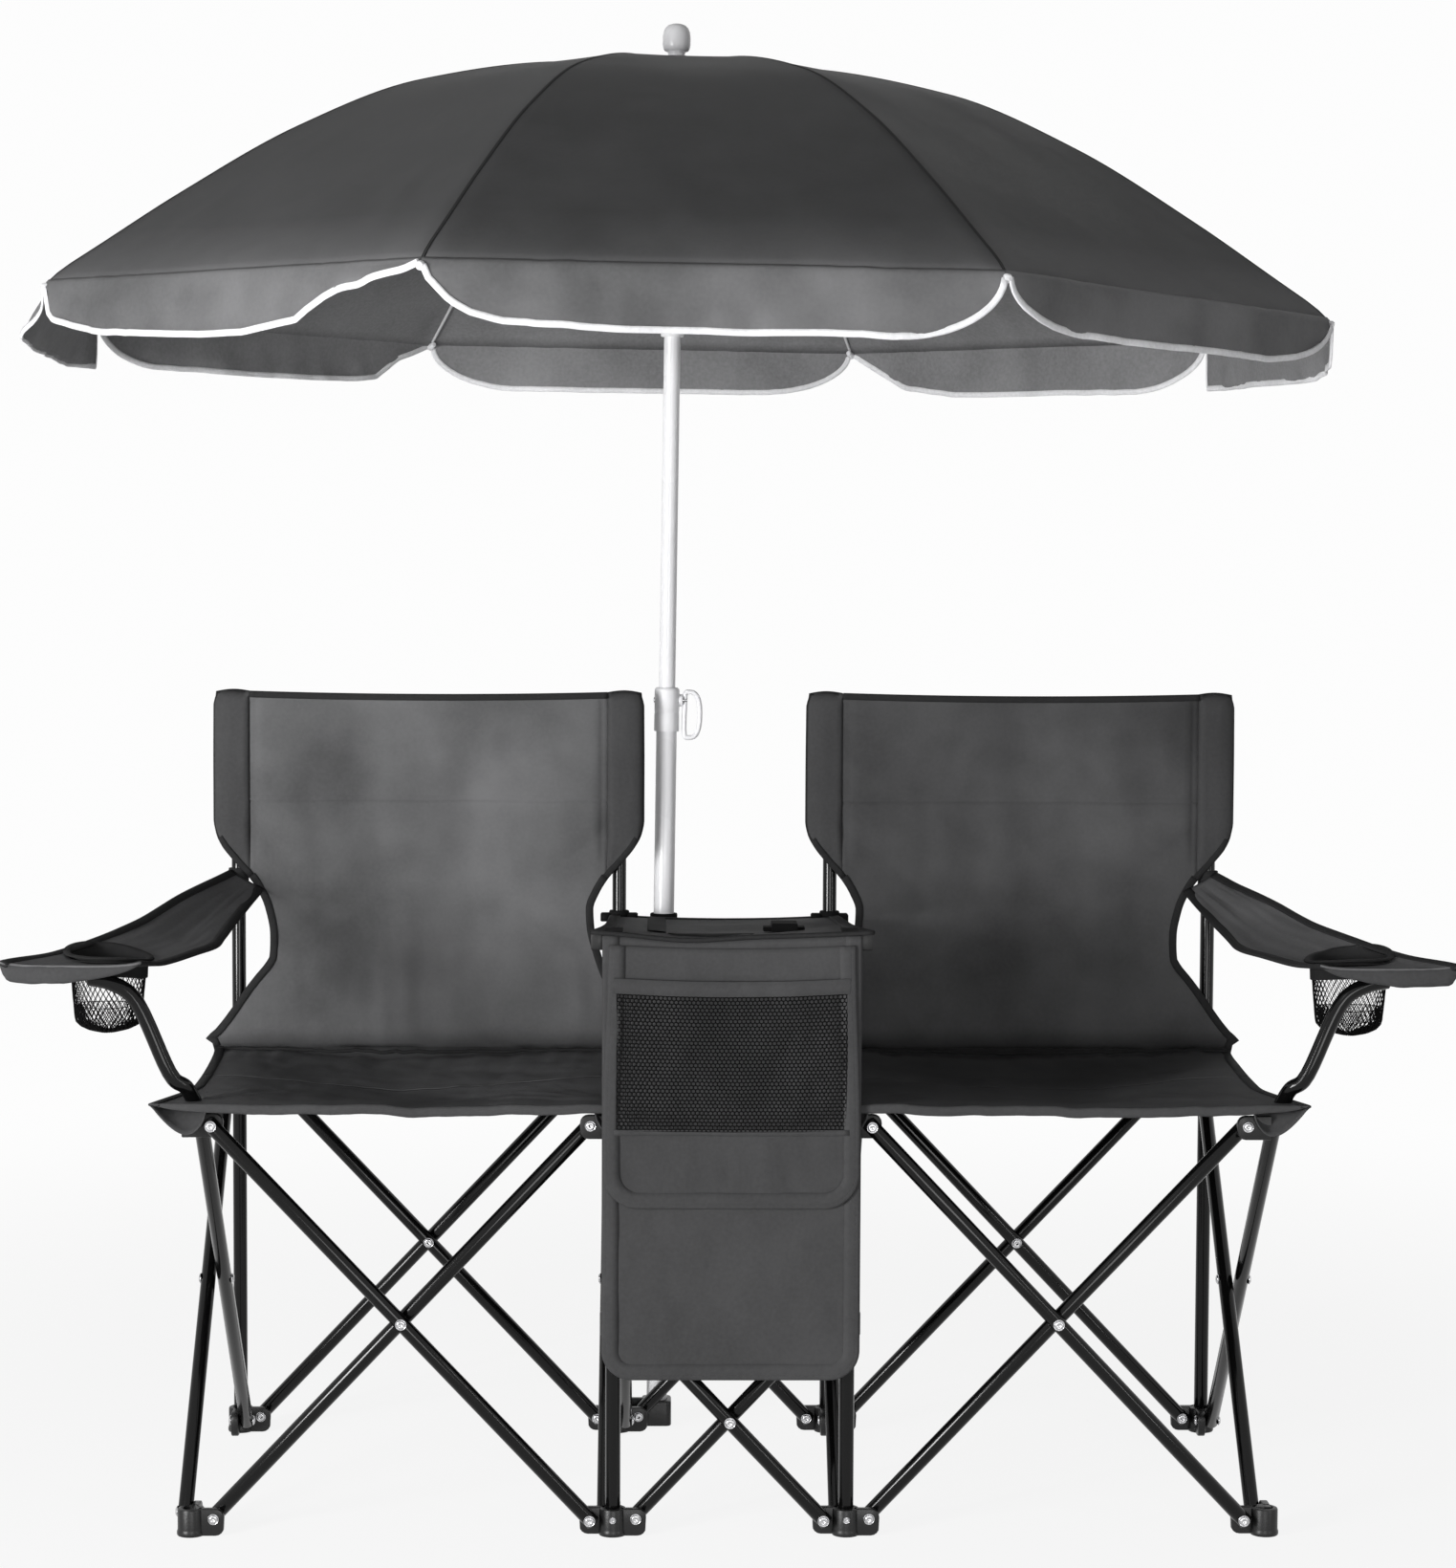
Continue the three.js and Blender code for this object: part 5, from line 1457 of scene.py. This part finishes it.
def up(x, y, z):
    """A point of the leaning umbrella in the common frame."""
    return (POLE_X + x * math.cos(LEAN) + z * math.sin(LEAN), POLE_Y + y, z * math.cos(LEAN)
            - x * math.sin(LEAN))


def lathe_up(b, profile, sides=40):
    """A revolved profile of (radius, height) on the umbrella's own axis."""
    rings = [[up(*p) for p in circle(0, 0, max(r, 0.01), z, sides)] for r, z in profile]
    b.solid(rings, ends=[up(0, 0, profile[k][1]) for k in (0, -1)])


def clamp_ring(b, z):
    """The bent wire ring of the clamp's screw, hung from the height z."""
    x0, x1, low, high, thick = 21.2, 38.6, z - 43.4, z + 9.6, 2.9
    ring = [(x0, high - 2), (x0 + 2, high)]
    for k in range(13):
        t = math.pi / 2 - math.pi * k / 12
        c, s = abs(math.cos(t)) ** 0.75, math.copysign(abs(math.sin(t)) ** 0.8, math.sin(t))
        ring.append((x0 + 5 + (x1 - x0 - 5) * c, (high + low) / 2 + (high - low) / 2 * s))
    ring += [(x0 + 2, low), (x0, low + 2)]
    route = [up(x, 0, zz) for x, zz in ring]
    pts = catmull(route + [route[0]], 4)[:-1]
    across = Vector((0, 1, 0))
    rings = []
    for k, p in enumerate(pts):
        t = (pts[(k + 1) % len(pts)] - pts[k - 1]).normalized()
        s = t.cross(across).normalized()
        rings.append([tuple(p + s * thick * ct + across * thick * st) for ct, st in turns(14)])
    b.rings(rings + [rings[0]])


def umbrella():
    base, upper, screw = (BODY[name] for name in ("umbrella_lower_pole", "umbrella_upper_pole",
                                                  "clamp_screw"))
    b = Build()
    lathe_up(b, [(11.4, 4.6), (12, 5.2), (12, 300), (12, 600), (12, 841), (11.6, 841.8), (10.6, 842)])
    finish_piece("lower_pole", b, ["pole"], base, angle=40, replaces=["umbrella_lower_pole"],
                 slot="umbrella_pole")
    b = Build()
    shaft = [(9.0, 480), (9.5, 480.6), (9.5, 900), (9.5, 1598), (10.5, 1601.2)]
    finial = [(13.6, 1602.2), (15.2, 1604.5), (16, 1609), (16, 1618.5), (15.2, 1624), (13.2, 1628.4),
              (10.0, 1631.4), (5.6, 1633), (0.3, 1633.3)]
    lathe_up(b, shaft + finial)
    finish_piece("upper_pole", b, ["pole"], upper, angle=40, replaces=["umbrella_upper_pole"],
                 slot="umbrella_pole")
    b = Build()
    lathe_up(b, [(12.3, 818), (14.2, 818), (14.6, 819), (14.5, 838), (14.1, 839.2), (14.1, 841),
                 (14.5, 842),
                 (14.5, 865.4), (13.8, 867.6), (12.2, 868.9), (9.9, 869), (9.7, 868)], 44)
    z = 842 + (869 - 842) * 0.45
    add_tube(b, [up(13.0, 0, z), up(18.6, 0, z)], 7.0, sides=24, cap=0.8)
    left = Vector(up(-1, 0, z)) - Vector(up(0, 0, z))
    add_lathe(b, up(-14.2, 0, z), left, [(3.4, -0.3), (3.4, 0.6), (2.8, 1.2), (0.4, 1.5)], 20, 1)
    plastic = {"mats": ["white", "nickel"], "slot": "umbrella_plastic"}
    finish_piece("pole_clamp", b, body=base, angle=35, replaces=["umbrella_clamp"], **plastic)
    b = Build()
    add_tube(b, [up(10, 0, z), up(24, 0, z)], 3.2, sides=20, mat=1, cap=0.5)
    clamp_ring(b, z)
    finish_piece("clamp_ring", b, body=screw, angle=40, replaces=["clamp_screw"], **plastic)
    # socket on the foot
    b = Build()
    levels = ((16.6, 0), (17.4, 1.0), (17.4, 27.5), (16.8, 29), (15.6, 29.6), (12.9, 29.6), (12.7, 28),
              (12.7, 6))
    ids = b.rings([soft_box(POLE_X, POLE_Y, half, half, z, 8 if half > 14 else 2, 56) for half,
                   z in levels])
    b.fan(ids[0], (POLE_X, POLE_Y, 0), flip=True)
    for x0, x1, y0, y1 in ((-129, -115, 454.6, 475.6), (-122, -88, 468.6, 475.6)):
        b.block(x0, x1, y0, y1, ((4, 1), (4.6, 0.3), (6, 0), (29, 0), (30.4, 0.3), (31, 1)))
    finish_piece("pole_socket", b, ["plastic"], BODY["umbrella_socket"], angle=38,
                 replaces=["umbrella_socket"],
                 slot="frame_plastic")


R_CAN, TOP_CAN, DROP_CAN, GORES, TURN = 742.0, 1587.0, 283.0, 8, 3.3
# How far the canopy has dropped at a share of its radius: round at the crown and straight further out
CROWN = np.array([(0, 0), (0.2, 0.03), (0.43, 0.147), (0.62, 0.36), (0.8, 0.645), (0.93, 0.876), (1, 1)])
# One rib reaches further out, and the valances differ in depth
REACH = [1.0, 1.0, 1.0, 1.0, 1.0, 1.0, 1.0, 1.024, 1.0]
DEEP = [62.0, 57.0, 56.0, 60.0, 62.0, 62.0, 50.0, 60.0]


def crown(share):
    return smooth_through(CROWN, share)


def rib_angle(k):
    return math.radians(TURN + (k + 0.5) * 360 / GORES)


ON_CANOPY = {"replaces": ["umbrella_canopy"], "slot": "canopy_cloth"}


def fall(k, r):
    """The height of rib k at a radius."""
    return TOP_CAN - DROP_CAN * crown(r / R_CAN) * REACH[k] ** 1.7


def dome(k, s, r):
    """The canopy at gore k, s across it from rib to rib and at a rib radius r."""
    a, c = rib_angle(k), rib_angle(k + 1)
    x = r * lerp(math.cos(a) * REACH[k], math.cos(c) * REACH[k + 1], s)
    y = r * lerp(math.sin(a) * REACH[k], math.sin(c) * REACH[k + 1], s)
    z = TOP_CAN - DROP_CAN * crown(r / R_CAN) * lerp(REACH[k], REACH[k + 1], s) ** 1.7
    mid = 4 * s * (1 - s)
    out = r / R_CAN
    z -= 5.0 * mid * out * (1 - out) * 1.3
    z -= 5.0 * max(0.0, (r - R_CAN + 26) / 26) ** 2
    z += 0.9 * mid * fbm(x / 190, y / 190, 91 + k) * ease(r / 250)
    near = min(s, 1 - s)
    z += 1.6 * mid * fbm(near * 26, r / 140, 95 + k,
                         2) * ease((out - 0.45) / 0.4) * (1 - ease((near - 0.2) / 0.15))
    return x, y, z


# How each valance's hem leaves its two ribs: a round sweep, or a slack one that lags behind
SLACK = {
    (4, 1): ((0, 0.03), (0.034, 0.13), (0.103, 0.23), (0.138, 0.34), (0.19, 0.37), (0.25, 0.61),
             (0.293, 0.84), (0.425, 1)),
    (4, 0): ((0, 0.05), (0.012, 0.5), (0.03, 0.64), (0.16, 0.88), (0.3, 0.94), (0.45, 1)),
    (2, 0): ((0, 0.05), (0.05, 0.24), (0.1, 0.4), (0.17, 0.88), (0.26, 0.97), (0.4, 1)),
    (0, 1): ((0, 0.05), (0.08, 0.45), (0.16, 0.8), (0.3, 0.97), (0.4, 1)),
    (3, 0): ((0, 0.0), (0.004, 0.7), (0.012, 1)),
    (7, 0): ((0, 0.0), (0.004, 0.6), (0.012, 0.8), (0.2, 1)),
    (7, 1): ((0, 0.0), (0.004, 0.7), (0.012, 1)),
    (5, 0): ((0, 0.05), (0.01, 0.25), (0.047, 0.6), (0.083, 0.78), (0.133, 0.9), (0.2, 0.93), (0.34, 1)),
}
# How far a valance's hem swings away from the pole
FLARE = {3: 30.0, 4: 6.0, 7: 12.0}


def valance_depth(k, s):
    end = 0 if s < 0.5 else 1
    near = min(s, 1 - s)
    if (k, end) in SLACK:
        table = SLACK[(k, end)]
        t = float(np.interp(near, [a for a, _ in table], [d for _, d in table]))
        return DEEP[k] * t
    t = min(1.0, near / (0.2 + 0.02 * math.sin(k * 2.1 + end)))
    return DEEP[k] * max(0.05, math.sqrt(max(0.0, 1 - (1 - t) ** 2))) * (1 + 0.03 * fbm(s * 4, k * 1.7, 111))


def valance_point(k, s, h):
    """h goes from the fold to the scalloped edge."""
    a = (rib_angle(k) + rib_angle(k + 1)) / 2
    if h < 0:
        x, y, z = dome(k, s, R_CAN + 60 * h)
        return x + math.cos(a) * 0.5, y + math.sin(a) * 0.5, z + 0.7
    x, y, z = dome(k, s, R_CAN)
    depth = valance_depth(k, s) * h
    wave = 5.0 * fbm(s * 5.5 + k * 3.7, h * 0.7, 101) * h + 2.2 * fbm(s * 13 + k, h, 105, 2) * h
    near = min(s, 1 - s)
    wave *= ease(near / 0.08)
    swing = 2.6 * (1 - (1 - h) ** 4) + wave - 2.0 * h * (4 * s * (1 - s))
    swing += FLARE.get(k, 0.0) * h * ease(near / 0.12)
    return x + math.cos(a) * swing, y + math.sin(a) * swing, z - depth


def canopy_dome(body, radii):
    b = Build()
    ns = 26
    for k in range(GORES):
        b.surface([[up(*dome(k, i / ns, r)) for i in range(ns + 1)] for r in radii],
                  [[((i / ns - 0.5) * r * 0.765, r) for i in range(ns + 1)] for r in radii])
    me = b.mesh("dome")
    bm = bmesh.new()
    bm.from_mesh(me)
    bmesh.ops.remove_doubles(bm, verts=bm.verts, dist=0.00002)
    bm.to_mesh(me)
    bm.free()
    top = finish_piece("canopy_dome", me, ["lining", "canopy"], body, angle=30, thick=CANOPY_CLOTH,
                       **ON_CANOPY)


def canopy_seam(k, body, radii):
    """The raised seam over rib k."""
    b = Build()
    n = Vector((-math.sin(rib_angle(k)), math.cos(rib_angle(k)), 0))
    section = ((-2.0, 0.2), (-1.7, 0.7), (-0.4, 0.9), (0.0, 0.4), (0.4, 0.9), (1.7, 0.7), (2.0, 0.2))
    rows = []
    for r in radii:
        x, y, z = dome(k, 0.0, r)
        rows.append([up(x + n.x * d, y + n.y * d, z + h) for d, h in section])
    b.surface(rows, [[(d * 1.2, r) for d in range(7)] for r in radii])
    seam = finish_piece(f"canopy_seam_{k + 1}", b, ["canopy_seam"], body, **ON_CANOPY)


def valance(k, body):
    """The strip that hangs from gore k, its white binding and the cap that holds it on the rib's tip."""
    b = Build()
    n = 72
    ss = sorted({i / n for i in range(n + 1)} | {0.004, 0.01, 0.02, 0.98, 0.99, 0.996})
    hs = [-0.08, -0.03] + [j / 9 for j in range(10)]
    b.surface([[up(*valance_point(k, s, h)) for s in ss] for h in hs],
              [[(s * 568, h * 62) for s in ss] for h in hs])
    name = f"valance_{k + 1}"
    strip = finish_piece(name, b, ["lining", "valance"], body, thick=CANOPY_CLOTH, **ON_CANOPY)
    P = [up(*valance_point(k, s, 1.0)) for s in ss]
    a = (rib_angle(k) + rib_angle(k + 1)) / 2
    out = Vector((math.cos(a), math.sin(a), 0))
    ways = [out.cross(run_at(P, i).normalized()) for i in range(len(P))]
    I = [-way if way.z < 0 else way for way in ways]
    ribbon(f"{name}_binding", P, I, [out] * len(P), "trim", body, "umbrella_canopy",
           width=5.6, off=1.1, wrap=0.9)
    b = Build()
    ra = rib_angle(k)
    d = Vector((math.cos(ra), math.sin(ra), -0.28)).normalized()
    tip = Vector(dome(k, 0.0, R_CAN)) - Vector((0, 0, 2.5))
    p0, p1 = Vector(up(*(tip - d * 12))), Vector(up(*(tip + d * 3.5)))
    add_lathe(b, p0, p1 - p0, [(2.6, 0), (3.4, 1.0), (3.8, 6), (4.6, 11), (4.8, 13.5), (3.9, 15.4),
                               (1.6, 16)], 20)
    finish_piece(f"rib_cap_{k + 1}", b, ["white"], body, angle=40, replaces=["umbrella_canopy"],
                 slot="umbrella_plastic")


def canopy_frame(body):
    """Ribs, stretchers, hub and runner."""
    wire_r, rib_end, runner = 1.9, 736, 1335 - 8
    b = Build()
    for k in range(GORES):
        c, s = math.cos(rib_angle(k)), math.sin(rib_angle(k))

        def on_rib(r, under):
            return up(r * c * REACH[k], r * s * REACH[k], fall(k, r) - under)

        add_tube(b, [on_rib(lerp(13, rib_end, j / 20), 5.2) for j in range(21)], wire_r, sides=12, cap=0.6)
        end = on_rib(R_CAN / 2, 7.4)
        add_tube(b, [up(15 * c, 15 * s, runner), end], wire_r, sides=12, cap=0.6)
        across = Vector((-s, c, 0))
        add_rivet(b, end, across, 1, r=2.8, h=1.4)
        add_lathe(b, Vector(end) - across * 2.4, across, [(3.1, 0), (3.1, 4.6)], 16)
    finish_piece("canopy_ribs", b, ["rib", "nickel"], body, angle=40, replaces=["umbrella_ribs"],
                 slot="umbrella_rib")
    b = Build()
    lathe_up(b, [(9.8, 1575.2), (15.8, 1575.2), (16.8, 1576.4), (17, 1580), (17, 1590), (15.5, 1594),
                 (12.5, 1596.6),
                 (9.8, 1597)])
    lathe_up(b, [(9.8, 1275), (12.8, 1275), (13.4, 1276.4), (13.4, 1312), (14.4, 1315), (16.6, 1317),
                 (17, 1319),
                 (17, 1332), (16.2, 1334.4), (14, 1335), (9.8, 1335)])
    finish_piece("canopy_hub", b, ["white"], body, angle=35, replaces=["umbrella_ribs"],
                 slot="umbrella_plastic")


def canopy():
    body = BODY["umbrella_canopy"]
    crown_r, steps = 11.5, 54
    radii = [lerp(crown_r, R_CAN, j / steps) for j in range(steps + 1)]
    canopy_dome(body, radii)
    for k in range(GORES):
        canopy_seam(k, body, radii[1:])
    for k in range(GORES):
        valance(k, body)
    canopy_frame(BODY["umbrella_ribs"])


def small_pieces():
    """Tabs, buckle, strap, loops and clips of the table, which show past the flap's upper edge."""
    on = {"replaces": ["table_top"], "slot": "table_cloth"}
    b = Build()

    def plate(x0, x1, y0, y1, low, high):
        b.block(x0, x1, y0, y1, ((low, 0.8), (low + 0.7, 0), (high - 0.7, 0), (high, 0.8)))

    def lie(x, y):
        return table_point(0.5 + x / 265, (y + 30.3) / 481.3).z

    # webbing tabs that tie the table's front corners down to the legs
    for s in (-1, 1):
        z = table_point(0.5 + s * 0.46, 0.06).z
        plate(s * INNER - 9, s * INNER + 9, -18, 18, z + 1.0, z + 2.6)
    # a buckle, a strap to the pole and, on the table cloth, a black lens painted as the shadow in the
    # opening of the cooler under the table top
    z = lie(60, 170)
    plate(46, 74, 150, 186, z + 1.2, z + 10.5)
    plate(37, 82, 158, 177, z + 1.2, z + 6.0)
    strap, lid_gap_shadow = [], []
    for k in range(31):
        t = k / 30
        strap.append([(x, lerp(70, 441, t)) for x in (-88.5, -86.5, -70, -68)])
        half = 22 * math.sin(math.pi * t) ** 0.5 + 0.4
        lid_gap_shadow.append([(lerp(-66, 24, t), 44 + half * share) for share in (1, 0.5, -0.5, -1)])
    for rows in (strap, lid_gap_shadow):
        b.rings([[(x, y, lie(x, y) + h) for (x, y), h in zip(row, (1.6, 2.6, 2.6, 1.6))] for row in rows],
                closed=False)
    tabs = finish_piece("table_tabs", b, ["webbing"], ROOT, angle=40, **on)
    squash_all([tabs])
    for s, column in ((-1, "inner_left"), (1, "inner_right")):
        b = Build()
        x = s * INNER
        b.band(x, ROW, ((8.6, 598), (11.2, 598.6), (11.8, 602), (11.6, 606), (11.8, 609.4), (11.0, 611.6),
                        (8.6, 612)), 28, 2.4, 3)
        for x0 in (x - 22, x + 9):
            b.block(x0, x0 + 13, ROW - 9, ROW + 9, ((599, 1.6), (600, 0.4), (607, 0.4), (608.5, 2.0)),
                    crown=0.5)
        finish_piece(f"table_{column}_loop", b, ["webbing"], BODY[f"rear_{column}_foot"], **on)
        b = Build()
        x = s * 137.5
        outline = ((-1, -1), (0, -1.25), (1, -1), (1, 1), (0, 1.1), (-1, 1))
        levels = ((615, 1.2), (616, 0.2), (617, 0), (632, 0), (633.4, 0.4), (634, 1.4))
        b.solid([[(x + (8.5 - g) * cx, 2 + (8 - g) * cy, z) for cx, cy in outline] for z, g in levels],
                ends=((x, 2, 615), (x, 2, 634)))
        finish_piece(f"table_{column}_clip", b, ["plastic"], BODY[f"{column}_table_leg"], angle=38,
                     replaces=["table_top"], slot="frame_plastic")


# ---------------------------------------------------------------- build everything
materials()
frame_tubes()
uprights()
mouldings()
seat(-1)
seat(1)
armrest(-1)
armrest(1)
table()
cooler()
flap()
umbrella()
canopy()
small_pieces()
camera()
backdrop()
lamps()
ground()
bpy.context.scene.view_settings.view_transform = "Standard"
